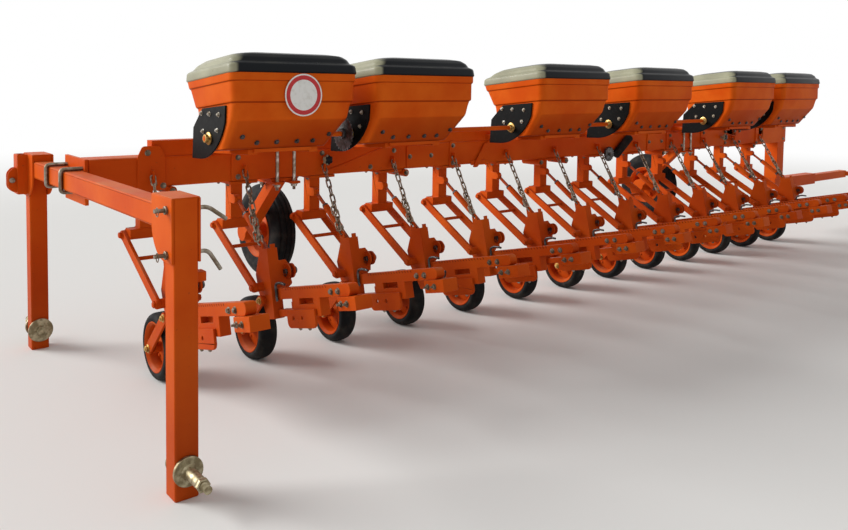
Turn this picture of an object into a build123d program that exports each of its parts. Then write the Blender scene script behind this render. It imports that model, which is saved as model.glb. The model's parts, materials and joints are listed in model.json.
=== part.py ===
from build123d import *
import os
from math import atan2, degrees, hypot, sqrt

os.makedirs("parts", exist_ok=True)

# Mounted row crop cultivator: a square toolbar carries hoeing units side by side,
# fertiliser hoppers above them, support wheels in front and, for the road, a portal
# with two wheel legs at the left end and a drawbar at the right end.
# Millimetres; X runs along the toolbar, +Y is the driving direction, Z = 0 is the floor.

# Rows
UNIT_COUNT = 13
ROW_SPACING = 450

# Fits: gap of seated pieces, running gap of a wheel on its axle
SEAT_GAP = 0.3
RUNNING_GAP = 0.05

# Toolbar
BAR_SIDE = 140
BAR_CORNER = 12
BAR_BOTTOM = 845
BAR_LEFT_OVERHANG = 274
BAR_RIGHT_OVERHANG = 500
END_PLATE = 16
END_PLATE_DROP = 60
END_PLATE_REACH = 300
END_PLATE_Y = 93

# Unit post under the toolbar, with the foot that carries the lower link
POST_WIDTH = 62
POST_DEPTH = 62
POST_Y = 40
HEAD_LENGTH = 150
HEAD_RADIUS = 26
FOOT_HEIGHT = 46
POST_FLANGE = 150
POST_FLANGE_THICK = 14
PIVOT_PIN_RADIUS = 12
FRONT_PIVOT_Y = 75
FRONT_PIVOT_Z = 615

# Lower link: two side bars and a cross rod
LINK_RUN = 418
LINK_DROP = 229
LINK_BAR_HEIGHT = 44
LINK_BAR_THICK = 16
LINK_CROSS_SHARE = 0.37
LINK_CROSS_RADIUS = 9

# Upper link: a turnbuckle with an eye at each end; its lower end lies in the fork
TOP_LINK_X = -22
TOP_LINK_FRONT_Y = -22
TOP_LINK_FRONT_Z = 752
TOP_LINK_REAR_BACK = 50
TOP_LINK_REAR_UP = 140
TOP_LINK_ROD_RADIUS = 9
TOP_LINK_EYE_RADIUS = 22
TOP_LINK_EYE_THICK = 20
TOP_LINK_PIN_RADIUS = 8
TURNBUCKLE_RADIUS = 17
TURNBUCKLE_LENGTH = 160
EAR_THICK = 13

# Gang: fork, beam and tool holders are square to one another and tilt as one, front end low.
# Their places are given as distances behind (back) and above (up) the rear pivot.
GANG_PITCH_DEG = 13.8

# Fork at the rear of the links: a narrow channel, open in front, with a wing on the right
FORK_LEFT = 45
FORK_WIDTH = 52
FORK_PLATE = 8
FORK_BACK = 88
FORK_COLLAR_RADIUS = 21
# Front edge of the side plates, top first: back, up
FORK_FRONT = ((14, 169), (-52, 58), (-40, -25), (20, -150))
TAB_LEFT = 19
TAB_WIDTH = 24
TAB_HEIGHT = 18
# Outline of the wing: distance beyond the fork's right side, up
WING_EDGE = ((0, 109), (36, 109), (63, 70), (52, -5), (0, -5))
CLEVIS_OFFSETS = (26, 50)
CLEVIS_REACH = 14
CLEVIS_RADIUS = 34
CLEVIS_UP = 55

# Gang beam: top bar, lower bar and the block between them
BEAM_LENGTH = 609
BEAM_HEIGHT = 50
BEAM_WIDTH = 46
BEAM_DROP = 15
BEAM_END_ROUND = 22
LOWER_BAR_DROP = 96
LOWER_BAR_HEIGHT = 31
BLOCK_START = 135
BLOCK_LENGTH = 236
WINDOW_START = 66
WINDOW_LENGTH = 114
WINDOW_HEIGHT = 26
WINDOW_DEPTH = 30

# Tool holders on the gang beam: a drilled cheek beside it and a clamp block under its end
CHEEK_THICK = 12
CHEEK_START = 97
CHEEK_LENGTH = 240
CHEEK_HEIGHT = 80
CHEEK_ROUND = 28
CHEEK_HOLE_RADIUS = 9
CHEEK_HOLE_DROP = 36
CHEEK_HOLE_STARTS = (56, 130)
CLAMP_START = 534
CLAMP_LENGTH = 130
CLAMP_WIDTH = 80
CLAMP_HEIGHT = 55
CLAMP_SOCKET = 34
CLAMP_WALL = 9

# Gauge wheel and its arm
GAUGE_RADIUS = 150
GAUGE_WIDTH = 95
GAUGE_Y = -190
GAUGE_RIM_RADIUS = 106
GAUGE_RIM_WALL = 8
GAUGE_RIM_WIDTH = 80
GAUGE_DISC = 8
GAUGE_HUB_RADIUS = 24
GAUGE_HUB_LENGTH = 90
GAUGE_SHOULDER = 14
GAUGE_AXLE_RADIUS = 12.5
ARM_THICK = 12
ARM_HEIGHT = 50
ARM_GAP = 10
ARM_TOP_BACK = 8
ARM_TOP_DROP = 62

# Lift chain from the toolbar down to an ear of the fork's left plate
CHAIN_LINKS = 9
CHAIN_WIRE = 8
CHAIN_INNER_WIDTH = 13
CHAIN_LUG_THICK = 8
CHAIN_LUG_SIZE = 40
CHAIN_HOLE_RADIUS = 8
CHAIN_TOP_X = -8
CHAIN_TOP_Z = 905
CHAIN_EAR_BACK = 24
CHAIN_EAR_UP = 187

# Fertiliser hopper with its lid, tilted to the front; the centres repeat mirrored on the right half
HOPPER_CENTRES = (446, 1556, 2282)
HOPPER_Y = -410
HOPPER_BASE_Z = 1030
HOPPER_TILT_DEG = 6
HOPPER_WALL = 6
HOPPER_CORNER = 34
# Reach to the left, right, rear and front from the middle of the base, and height, base first
HOPPER_SECTIONS = (
    (291, 216, 110, 80, 0),
    (291, 283, 185, 138, 123),
    (291, 291, 210, 146, 190),
    (295, 295, 214, 151, 198),
    (303, 303, 226, 207, 313),
)
LID_OVERHANG = 9
LID_WALL = 5
LID_CORNER = 40
# Inset of the lid at the sides, rear and front, and height above the rim, lower edge first
LID_SECTIONS = (
    (0, 0, 0, 0),
    (3, 3, 4, 40),
    (18, 16, 34, 66),
    (70, 44, 110, 92),
)

# Rail and cradle arms that carry the hoppers
RAIL_DEPTH = 60
RAIL_HEIGHT = 72
RAIL_Y = -30
RAIL_OVERHANG = 115
RAIL_NOTCH_GAP = 4
CRADLE_WIDTH = 44
CRADLE_HALF_SPAN = 150
CRADLE_LIFT = 5
CRADLE_END = 24

# Black end plate on the hopper's left wall, and the meter shaft through it.
# Places are given as distances in front of and above the middle of the hopper's base.
PLATE_THICK = 8
PLATE_EDGE = ((-160, 114), (-173, 184), (57, 188), (159, 112), (184, -24), (94, -30))
PLATE_ARC_MIDDLE = (-72, 18)
SHAFT_RADIUS = 12
SHAFT_FORWARD = -4
SHAFT_UP = 55

# Support wheels in front of the toolbar
SUPPORT_CLAMP_XS = (-2025, 1575)
SUPPORT_Y = 350
SUPPORT_Z = 505
SUPPORT_RADIUS = 258
SUPPORT_WIDTH = 145
SUPPORT_RIM_RADIUS = 136
SUPPORT_RIM_WALL = 10
SUPPORT_RIM_WIDTH = 116
SUPPORT_DISC = 10
SUPPORT_HUB_RADIUS = 48
SUPPORT_HUB_LENGTH = 120
SUPPORT_SHOULDER = 28
SUPPORT_AXLE_RADIUS = 20
SUPPORT_ARM_SIDE = 62
SUPPORT_ARM_GAP = 16
SUPPORT_FOOT = 150
SUPPORT_FOOT_THICK = 16

# Transport portal at the left end
PORTAL_SIDE = 80
PORTAL_CORNER = 8
PORTAL_BEAM_Z = 895
PORTAL_NEAR_Y = -1200
PORTAL_FAR_Y = 594
LEG_TOP_Z = 965
SLEEVE_PLATE = 8
SLEEVE_LENGTH = 170
SLEEVE_HEIGHT = 205
SLEEVE_ROUND = 110
SPINDLE_Z = 95
SPINDLE_FLANGE_RADIUS = 44
SPINDLE_FLANGE = 14
SPINDLE_RADIUS = 20
SPINDLE_LENGTH = 95
SPINDLE_THREAD_RADIUS = 13.5
SPINDLE_THREAD = 50
BACK_DISC_RADIUS = 57
BACK_DISC = 10
BACK_NUT_RADIUS = 20
BACK_NUT = 16

# U-bolts
U_BOLT_RADIUS = 9
U_BOLT_BEND = 12
U_BOLT_TAIL = 26
PORTAL_BOLT_HALF_SPACING = 116
FOOT_BOLT_HALF_SPACING = 48

# Three-point hitch at the middle of the toolbar
CHEEK_X = 235
HITCH_PLATE = 16
HITCH_REACH = 260
HITCH_PIN_RADIUS = 14
HITCH_PIN_LENGTH = 75
HITCH_PIN_Z = 806
MAST_TOP_Z = 1330
MAST_GAP = 60
MAST_BAR = 60
MAST_BORE_RADIUS = 12.75

# Drawbar at the right end
DRAWBAR_POST = 120
DRAWBAR_Z = 450
DRAWBAR_SLEEVE = 100
DRAWBAR_SLEEVE_LENGTH = 800
DRAWBAR_BAR = 70
DRAWBAR_BAR_LENGTH = 700
EYE_RADIUS = 55
EYE_THICK = 40
EYE_BORE_RADIUS = 25

# Derived places
unit_xs = [(i - (UNIT_COUNT - 1) / 2) * ROW_SPACING for i in range(UNIT_COUNT)]
unit_spots = [(x, 0, 0) for x in unit_xs]
hopper_xs = sorted([-x for x in HOPPER_CENTRES] + list(HOPPER_CENTRES))
bar_left = unit_xs[0] - BAR_LEFT_OVERHANG
bar_right = unit_xs[-1] + BAR_RIGHT_OVERHANG
bar_top = BAR_BOTTOM + BAR_SIDE
bar_half = BAR_SIDE / 2
rear_pivot_y = FRONT_PIVOT_Y - LINK_RUN
rear_pivot_z = FRONT_PIVOT_Z - LINK_DROP
link_length = hypot(LINK_RUN, LINK_DROP)
link_angle = degrees(atan2(LINK_DROP, LINK_RUN))
link_inner = HEAD_LENGTH / 2 + SEAT_GAP
pin_half = link_inner + LINK_BAR_THICK
fork_right = FORK_WIDTH - FORK_LEFT
fork_top = FORK_FRONT[0][1]
fork_bottom = FORK_FRONT[-1][1]
gang_place = Location((0, rear_pivot_y, rear_pivot_z), (-GANG_PITCH_DEG, 0, 0))
hopper_place = Location((0, HOPPER_Y, HOPPER_BASE_Z), (-HOPPER_TILT_DEG, 0, 0))
portal_x = bar_left - END_PLATE - PORTAL_SIDE / 2
pieces = {}


def spread(masters, spots):
    """Copies of the solids of one set at a list of places, as one part."""
    with BuildPart() as placed:
        with Locations(*spots):
            for master in masters:
                add(master)
    return placed.part


def gang_point(back, up):
    """Y and Z of a place on the gang."""
    spot = (gang_place * Location((0, -back, up))).position
    return spot.Y, spot.Z


def hopper_point(forward, up):
    """Y and Z of a place on the tilted hopper."""
    spot = (hopper_place * Location((0, forward, up))).position
    return spot.Y, spot.Z


# Toolbar, and the plate on its left end
with BuildPart() as toolbar:
    with BuildSketch(Plane.YZ.offset(bar_left + SEAT_GAP)):
        with Locations((0, BAR_BOTTOM + bar_half)):
            RectangleRounded(BAR_SIDE, BAR_SIDE, BAR_CORNER)
    extrude(amount=bar_right - bar_left - SEAT_GAP)
    with BuildSketch(Plane.YZ.offset(bar_left - END_PLATE)):
        with Locations((END_PLATE_Y, bar_top)):
            Rectangle(END_PLATE_REACH, BAR_SIDE + END_PLATE_DROP, align=(Align.CENTER, Align.MAX))
    extrude(amount=END_PLATE)
pieces["toolbar"] = toolbar.part

# Unit posts: flange on the toolbar, square post, foot and head with the lower link's pin, ear
post_rear = POST_Y - POST_DEPTH / 2
with BuildPart() as post:
    with Locations((0, 0, BAR_BOTTOM)):
        Box(POST_FLANGE, BAR_SIDE, POST_FLANGE_THICK, align=(Align.CENTER, Align.CENTER, Align.MAX))
    with Locations((0, POST_Y, FRONT_PIVOT_Z)):
        Box(
            POST_WIDTH,
            POST_DEPTH,
            BAR_BOTTOM - FRONT_PIVOT_Z - POST_FLANGE_THICK / 2,
            align=(Align.CENTER, Align.CENTER, Align.MIN),
        )
    with Locations((0, post_rear, FRONT_PIVOT_Z - HEAD_RADIUS / 2)):
        Box(HEAD_LENGTH, FRONT_PIVOT_Y - post_rear, FOOT_HEIGHT, align=(Align.CENTER, Align.MIN, Align.MIN))
    with Locations(Location((0, FRONT_PIVOT_Y, FRONT_PIVOT_Z), (0, 90, 0))):
        Cylinder(HEAD_RADIUS, HEAD_LENGTH)
        Cylinder(PIVOT_PIN_RADIUS, 2 * pin_half)
    with BuildSketch(Plane.YZ.offset(TOP_LINK_X - EAR_THICK)):
        with Locations((TOP_LINK_FRONT_Y, TOP_LINK_FRONT_Z)):
            Circle(TOP_LINK_EYE_RADIUS)
            Rectangle(
                post_rear + EAR_THICK - TOP_LINK_FRONT_Y,
                2 * TOP_LINK_EYE_RADIUS,
                align=(Align.MIN, Align.CENTER),
            )
    extrude(amount=EAR_THICK)
    with BuildSketch(Plane.YZ.offset(TOP_LINK_X - EAR_THICK)):
        with Locations((TOP_LINK_FRONT_Y, TOP_LINK_FRONT_Z)):
            Circle(TOP_LINK_PIN_RADIUS)
    extrude(amount=EAR_THICK + SEAT_GAP + TOP_LINK_EYE_THICK)

# Lower links
with BuildPart() as lower_link:
    for side in (-1, 1):
        with BuildSketch(Plane.YZ.offset(side * (link_inner + LINK_BAR_THICK / 2))):
            with Locations(((FRONT_PIVOT_Y + rear_pivot_y) / 2, (FRONT_PIVOT_Z + rear_pivot_z) / 2)):
                SlotCenterToCenter(link_length, LINK_BAR_HEIGHT, rotation=link_angle)
            with Locations((FRONT_PIVOT_Y, FRONT_PIVOT_Z), (rear_pivot_y, rear_pivot_z)):
                Circle(PIVOT_PIN_RADIUS + SEAT_GAP, mode=Mode.SUBTRACT)
        extrude(amount=LINK_BAR_THICK / 2, both=True)
    cross_y = FRONT_PIVOT_Y - LINK_RUN * LINK_CROSS_SHARE
    cross_z = FRONT_PIVOT_Z - LINK_DROP * LINK_CROSS_SHARE
    with Locations(Location((0, cross_y, cross_z), (0, 90, 0))):
        Cylinder(LINK_CROSS_RADIUS, 2 * link_inner + LINK_BAR_THICK)
pieces["lower_links"] = spread([lower_link.part], unit_spots)

# Forks, about the rear pivot: two side plates, rear plate with tab and wing, clevis cheeks,
# chain ear, pin of the upper link, pivot pin with collars
fork_edge = [(FORK_BACK, fork_top), *FORK_FRONT, (FORK_BACK, fork_bottom)]
with BuildPart() as fork:
    for x in (-FORK_LEFT, fork_right - FORK_PLATE):
        with BuildSketch(Plane.YZ.offset(x)):
            with BuildLine():
                Polyline(*[(-back, up) for back, up in fork_edge], close=True)
            make_face()
        extrude(amount=FORK_PLATE)
    with BuildSketch(Plane.XZ.offset(FORK_BACK - FORK_PLATE)):
        with Locations((-FORK_LEFT, fork_bottom)):
            Rectangle(FORK_WIDTH, fork_top - fork_bottom, align=(Align.MIN, Align.MIN))
        with Locations((-FORK_LEFT + TAB_LEFT, fork_bottom)):
            Rectangle(TAB_WIDTH, fork_top + TAB_HEIGHT - fork_bottom, align=(Align.MIN, Align.MIN))
        with BuildLine():
            Polyline(*[(fork_right + beyond, up) for beyond, up in WING_EDGE], close=True)
        make_face()
    extrude(amount=FORK_PLATE)
    for beyond in CLEVIS_OFFSETS:
        with BuildSketch(Plane.YZ.offset(fork_right + beyond)):
            with Locations((FORK_PLATE - FORK_BACK, CLEVIS_UP)):
                Rectangle(FORK_PLATE + CLEVIS_REACH, 2 * CLEVIS_RADIUS, align=(Align.MAX, Align.CENTER))
            with Locations((-FORK_BACK - CLEVIS_REACH, CLEVIS_UP)):
                Circle(CLEVIS_RADIUS)
                Circle(PIVOT_PIN_RADIUS, mode=Mode.SUBTRACT)
        extrude(amount=FORK_PLATE)
    with BuildSketch(Plane.YZ.offset(-FORK_LEFT)):
        with Locations((-CHAIN_EAR_BACK, CHAIN_EAR_UP)):
            Circle(CHAIN_LUG_SIZE / 2)
            Rectangle(CHAIN_LUG_SIZE, CHAIN_LUG_SIZE, align=(Align.CENTER, Align.MAX))
            Circle(CHAIN_HOLE_RADIUS, mode=Mode.SUBTRACT)
    extrude(amount=FORK_PLATE)
    with Locations(Location((TOP_LINK_X, -TOP_LINK_REAR_BACK, TOP_LINK_REAR_UP), (0, 90, 0))):
        Cylinder(TOP_LINK_PIN_RADIUS, fork_right - TOP_LINK_X, align=(Align.CENTER, Align.CENTER, Align.MIN))
    with Locations(Location((0, 0, 0), (0, 90, 0))):
        Cylinder(FORK_COLLAR_RADIUS, HEAD_LENGTH)
        Cylinder(PIVOT_PIN_RADIUS, 2 * pin_half)
pieces["gang_forks"] = spread([fork.part.moved(gang_place)], unit_spots)

# Upper links
top_rear_y, top_rear_z = gang_point(TOP_LINK_REAR_BACK, TOP_LINK_REAR_UP)
top_run = TOP_LINK_FRONT_Y - top_rear_y
top_drop = TOP_LINK_FRONT_Z - top_rear_z
top_x = TOP_LINK_X + SEAT_GAP + TOP_LINK_EYE_THICK / 2
with BuildPart() as upper_link:
    with BuildSketch(Plane.YZ.offset(top_x)):
        with Locations((TOP_LINK_FRONT_Y, TOP_LINK_FRONT_Z), (top_rear_y, top_rear_z)):
            Circle(TOP_LINK_EYE_RADIUS)
    extrude(amount=TOP_LINK_EYE_THICK / 2, both=True)
    middle = (top_x, (TOP_LINK_FRONT_Y + top_rear_y) / 2, (TOP_LINK_FRONT_Z + top_rear_z) / 2)
    with Locations(Location(middle, (degrees(atan2(top_drop, top_run)) + 90, 0, 0))):
        Cylinder(TOP_LINK_ROD_RADIUS, hypot(top_run, top_drop) - TOP_LINK_EYE_RADIUS)
        Cylinder(TURNBUCKLE_RADIUS, TURNBUCKLE_LENGTH)
    with BuildSketch(Plane.YZ.offset(top_x)):
        with Locations((TOP_LINK_FRONT_Y, TOP_LINK_FRONT_Z), (top_rear_y, top_rear_z)):
            Circle(TOP_LINK_PIN_RADIUS + SEAT_GAP)
    extrude(amount=TOP_LINK_EYE_THICK, both=True, mode=Mode.SUBTRACT)
pieces["upper_links"] = spread([upper_link.part], unit_spots)

# Gang beams: top bar with a rounded end, lower bar, block with a window on the left
beam_front = -FORK_BACK - SEAT_GAP
beam_low = -BEAM_DROP - BEAM_HEIGHT
lower_top = -BEAM_DROP - LOWER_BAR_DROP
lower_low = lower_top - LOWER_BAR_HEIGHT
with BuildPart() as gang_beam:
    with Locations((0, beam_front, -BEAM_DROP)):
        Box(BEAM_WIDTH, BEAM_LENGTH, BEAM_HEIGHT, align=(Align.CENTER, Align.MAX, Align.MAX))
    fillet(gang_beam.edges().filter_by(Axis.X).group_by(Axis.Y)[0], BEAM_END_ROUND)
    with Locations((0, beam_front, lower_top)):
        Box(BEAM_WIDTH, BLOCK_START, LOWER_BAR_HEIGHT, align=(Align.CENTER, Align.MAX, Align.MAX))
    with Locations((0, beam_front - BLOCK_START, beam_low)):
        Box(BEAM_WIDTH, BLOCK_LENGTH, beam_low - lower_low, align=(Align.CENTER, Align.MAX, Align.MAX))
    with Locations((-BEAM_WIDTH / 2, beam_front - BLOCK_START - WINDOW_START, beam_low)):
        Box(
            WINDOW_DEPTH,
            WINDOW_LENGTH,
            WINDOW_HEIGHT,
            align=(Align.MIN, Align.MAX, Align.MAX),
            mode=Mode.SUBTRACT,
        )
pieces["gang_beams"] = spread([gang_beam.part.moved(gang_place)], unit_spots)

# Tool holders
cheek_front = beam_front - CHEEK_START
clamp_front = beam_front - CLAMP_START
socket_y = clamp_front - CLAMP_LENGTH + CLAMP_WALL + CLAMP_SOCKET / 2
with BuildPart() as tool_holder:
    with Locations((-BEAM_WIDTH / 2 - SEAT_GAP, cheek_front, lower_top)):
        Box(CHEEK_THICK, CHEEK_LENGTH, CHEEK_HEIGHT, align=(Align.MAX, Align.MAX, Align.MAX))
    fillet(tool_holder.edges().filter_by(Axis.X).group_by(Axis.Z)[0], CHEEK_ROUND)
    hole_z = lower_top - CHEEK_HOLE_DROP
    with Locations(*[(-BEAM_WIDTH / 2, cheek_front - start, hole_z) for start in CHEEK_HOLE_STARTS]):
        Cylinder(CHEEK_HOLE_RADIUS, 4 * CHEEK_THICK, rotation=(0, 90, 0), mode=Mode.SUBTRACT)
    with Locations((0, clamp_front, beam_low - SEAT_GAP)):
        Box(CLAMP_WIDTH, CLAMP_LENGTH, CLAMP_HEIGHT, align=(Align.CENTER, Align.MAX, Align.MAX))
    with Locations((0, socket_y, beam_low)):
        Box(CLAMP_SOCKET, CLAMP_SOCKET, 3 * CLAMP_HEIGHT, mode=Mode.SUBTRACT)
pieces["tool_holders"] = spread([tool_holder.part.moved(gang_place)], unit_spots)


def wheel_rim(rim_radius, wall, width, disc, hub_radius, hub_length, bore):
    """Welded wheel about the X axis: hub, disc and rim band."""
    with BuildPart() as rim:
        with BuildSketch(Plane.XY):
            with Locations((0, (bore + hub_radius) / 2)):
                Rectangle(hub_length, hub_radius - bore)
            with Locations((0, (hub_radius + rim_radius) / 2 - wall / 2)):
                Rectangle(disc, rim_radius - hub_radius - wall)
            with Locations((0, rim_radius - wall / 2)):
                Rectangle(width, wall)
        revolve(axis=Axis.X)
    return rim.part


def wheel_tyre(inner, outer, width, shoulder, foot_width):
    """Tyre about the X axis: narrow at the rim, widest half way up, flat tread."""
    middle = (inner + outer) / 2
    with BuildPart() as tyre:
        with BuildSketch(Plane.XY):
            with BuildLine():
                Polyline(
                    (-foot_width / 2, inner),
                    (foot_width / 2, inner),
                    (width / 2, middle),
                    (width / 2, outer - shoulder),
                    (width / 2 - shoulder, outer),
                    (-width / 2 + shoulder, outer),
                    (-width / 2, outer - shoulder),
                    (-width / 2, middle),
                    close=True,
                )
            make_face()
        revolve(axis=Axis.X)
    return tyre.part


# Gauge wheels
gauge_rim = wheel_rim(
    GAUGE_RIM_RADIUS,
    GAUGE_RIM_WALL,
    GAUGE_RIM_WIDTH,
    GAUGE_DISC,
    GAUGE_HUB_RADIUS,
    GAUGE_HUB_LENGTH,
    GAUGE_AXLE_RADIUS + RUNNING_GAP,
)
gauge_tyre = wheel_tyre(
    GAUGE_RIM_RADIUS + SEAT_GAP,
    GAUGE_RADIUS,
    GAUGE_WIDTH,
    GAUGE_SHOULDER,
    GAUGE_RIM_WIDTH,
)
for index, x in enumerate(unit_xs, start=1):
    place = Location((x, GAUGE_Y, GAUGE_RADIUS))
    pieces[f"gauge_rim_{index:02d}"] = gauge_rim.moved(place)
    pieces[f"gauge_tyre_{index:02d}"] = gauge_tyre.moved(place)

# Gauge wheel arms: flat bar beside the wheel, axle with collar, boss on the fork
arm_inner = max(GAUGE_WIDTH, GAUGE_HUB_LENGTH) / 2 + ARM_GAP
arm_top_y, arm_top_z = gang_point(ARM_TOP_BACK, -ARM_TOP_DROP)
arm_run = GAUGE_Y - arm_top_y
arm_rise = arm_top_z - GAUGE_RADIUS
hub_half = GAUGE_HUB_LENGTH / 2
with BuildPart() as wheel_arm:
    with BuildSketch(Plane.YZ.offset(-arm_inner - ARM_THICK)):
        with Locations(((GAUGE_Y + arm_top_y) / 2, (GAUGE_RADIUS + arm_top_z) / 2)):
            slope = -degrees(atan2(arm_rise, arm_run))
            SlotCenterToCenter(hypot(arm_run, arm_rise), ARM_HEIGHT, rotation=slope)
    extrude(amount=ARM_THICK)
    with Locations(Location((-arm_inner, arm_top_y, arm_top_z), (0, 90, 0))):
        Cylinder(FORK_COLLAR_RADIUS, arm_inner - FORK_LEFT, align=(Align.CENTER, Align.CENTER, Align.MIN))
    with Locations(Location((-arm_inner, GAUGE_Y, GAUGE_RADIUS), (0, 90, 0))):
        Cylinder(
            GAUGE_HUB_RADIUS,
            arm_inner - hub_half - SEAT_GAP,
            align=(Align.CENTER, Align.CENTER, Align.MIN),
        )
        Cylinder(
            GAUGE_AXLE_RADIUS,
            arm_inner + hub_half + ARM_THICK,
            align=(Align.CENTER, Align.CENTER, Align.MIN),
        )
pieces["wheel_arms"] = spread([wheel_arm.part], unit_spots)

# Lift chains: a lug on the toolbar, then links in turn flat and upright to the fork's ear
lug_y = -bar_half - CHAIN_LUG_SIZE / 2
chain_top = Vector(CHAIN_TOP_X, lug_y, CHAIN_TOP_Z)
chain_low = Vector(FORK_PLATE / 2 - FORK_LEFT, *gang_point(CHAIN_EAR_BACK, CHAIN_EAR_UP))
chain_axis = (chain_low - chain_top).normalized()
flat_normal = chain_axis.cross(Vector(1, 0, 0)).normalized()
seat = sqrt(CHAIN_HOLE_RADIUS**2 - (CHAIN_WIRE / 2) ** 2) - SEAT_GAP
span = (chain_low - chain_top).length - 2 * seat
link_inner_length = (span + (CHAIN_LINKS - 1) * SEAT_GAP) / CHAIN_LINKS
with BuildPart() as chain:
    for k in range(CHAIN_LINKS):
        along = seat + link_inner_length / 2 + k * (link_inner_length - SEAT_GAP)
        normal = flat_normal if k % 2 == 0 else flat_normal.cross(chain_axis)
        with BuildSketch(Plane(chain_top + chain_axis * along, x_dir=chain_axis, z_dir=normal)):
            Rectangle(link_inner_length + 2 * CHAIN_WIRE, CHAIN_INNER_WIDTH + 2 * CHAIN_WIRE)
            Rectangle(link_inner_length, CHAIN_INNER_WIDTH, mode=Mode.SUBTRACT)
        extrude(amount=CHAIN_WIRE / 2, both=True)
with BuildPart() as chain_lug:
    with Locations((CHAIN_TOP_X, lug_y, CHAIN_TOP_Z)):
        Box(CHAIN_LUG_THICK, CHAIN_LUG_SIZE, CHAIN_LUG_SIZE)
        Cylinder(CHAIN_HOLE_RADIUS, 2 * CHAIN_LUG_THICK, rotation=(0, 90, 0), mode=Mode.SUBTRACT)
pieces["lift_chains"] = spread([chain.part], unit_spots)
pieces["unit_posts"] = spread([post.part, chain_lug.part], unit_spots)


def tray(sections, corner):
    """Stack of tapered sections with rounded corners, about the middle of the hopper's base."""
    with BuildPart() as stack:
        for low, high in zip(sections, sections[1:]):
            for left, right, rear, front, height in (low, high):
                with BuildSketch(Plane.XY.offset(height)):
                    with Locations(((right - left) / 2, (front - rear) / 2)):
                        RectangleRounded(left + right, rear + front, corner)
            loft(ruled=True)
    return stack.part


# Hopper: a stack of tapered sections, hollow from the top
inner_sections = [(*[reach - HOPPER_WALL for reach in row[:4]], row[4]) for row in HOPPER_SECTIONS]
inner_sections[0] = (*inner_sections[0][:4], HOPPER_WALL)
with BuildPart() as hopper:
    add(tray(HOPPER_SECTIONS, HOPPER_CORNER))
    add(tray(inner_sections, HOPPER_CORNER - HOPPER_WALL), mode=Mode.SUBTRACT)

# Lid: upright skirt and sloping crown, hollow from below, resting on the hopper's rim
rim_left, rim_right, rim_rear, rim_front, rim_height = HOPPER_SECTIONS[-1]
lid_low = rim_height + SEAT_GAP
lid_front = rim_front + LID_OVERHANG
lid_outer = []
lid_inner = []
for side, rear, front, height in LID_SECTIONS:
    reaches = (rim_left - side, rim_right - side, rim_rear - rear, rim_front - front)
    lid_outer.append((*[reach + LID_OVERHANG for reach in reaches], lid_low + height))
    lid_inner.append((*[reach - LID_WALL for reach in reaches], lid_low + max(0, height - LID_WALL)))
with BuildPart() as lid:
    add(tray(lid_outer, LID_CORNER))
    add(tray(lid_inner, LID_CORNER - LID_WALL), mode=Mode.SUBTRACT)
for index, x in enumerate(hopper_xs, start=1):
    place = Location((x, 0, 0)) * hopper_place
    pieces[f"hopper_{index}"] = hopper.part.moved(place)
    pieces[f"hopper_lid_{index}"] = lid.part.moved(place)

# Rail on the toolbar, notched for the U-bolts, with the cradle arms under the hoppers
base_left, base_right, base_rear, base_front, _ = HOPPER_SECTIONS[0]
arm_rear_spot = hopper_point(-base_rear, -SEAT_GAP)
arm_front_spot = hopper_point(base_front, -SEAT_GAP)
foot_bolt_xs = [x + side * FOOT_BOLT_HALF_SPACING for x in SUPPORT_CLAMP_XS for side in (-1, 1)]
notch = 2 * (U_BOLT_RADIUS + RAIL_NOTCH_GAP)
with BuildPart() as hopper_rail:
    with Locations((0, RAIL_Y, bar_top)):
        Box(
            hopper_xs[-1] - hopper_xs[0] + rim_left + rim_right + 2 * RAIL_OVERHANG,
            RAIL_DEPTH,
            RAIL_HEIGHT,
            align=(Align.CENTER, Align.CENTER, Align.MIN),
        )
    with Locations(*[(x, RAIL_Y, bar_top) for x in foot_bolt_xs]):
        Box(notch, 2 * RAIL_DEPTH, 2 * notch, mode=Mode.SUBTRACT)
    for x in hopper_xs:
        for side in (-1, 1):
            with BuildSketch(Plane.YZ.offset(x + side * CRADLE_HALF_SPAN)):
                with BuildLine():
                    Polyline(
                        arm_rear_spot,
                        arm_front_spot,
                        (RAIL_Y, arm_front_spot[1]),
                        (RAIL_Y, bar_top + CRADLE_LIFT),
                        (arm_rear_spot[0], arm_rear_spot[1] - CRADLE_END),
                        close=True,
                    )
                make_face()
            extrude(amount=CRADLE_WIDTH / 2, both=True)
pieces["hopper_rail"] = hopper_rail.part

# Black end plates
plate_x = -base_left - SEAT_GAP - PLATE_THICK
with BuildPart() as end_plate:
    with BuildSketch(Plane.YZ.offset(plate_x)):
        with BuildLine():
            Polyline(*PLATE_EDGE)
            ThreePointArc(PLATE_EDGE[-1], PLATE_ARC_MIDDLE, PLATE_EDGE[0])
        make_face()
        with Locations((SHAFT_FORWARD, SHAFT_UP)):
            Circle(SHAFT_RADIUS + SEAT_GAP, mode=Mode.SUBTRACT)
    extrude(amount=PLATE_THICK)
plate = end_plate.part.moved(hopper_place)
pieces["hopper_end_plates"] = spread([plate], [(x, 0, 0) for x in hopper_xs])

# Meter shafts: a stub through the first end plate, and a length from each hopper to the next plate
bend_right, bend_height = HOPPER_SECTIONS[1][1], HOPPER_SECTIONS[1][4]
shaft_share = (SHAFT_UP + SHAFT_RADIUS) / bend_height
shaft_reach = base_right + (bend_right - base_right) * shaft_share + SEAT_GAP
shaft_y, shaft_z = hopper_point(SHAFT_FORWARD, SHAFT_UP)
with BuildPart() as meter_shafts:
    for here, back in zip(hopper_xs, [None] + hopper_xs[:-1]):
        start = here + plate_x - PLATE_THICK * 3 if back is None else back + shaft_reach
        end = here - base_left - SEAT_GAP
        with Locations(Location((start, shaft_y, shaft_z), (0, 90, 0))):
            Cylinder(SHAFT_RADIUS, end - start, align=(Align.CENTER, Align.CENTER, Align.MIN))
pieces["meter_shafts"] = meter_shafts.part

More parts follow.
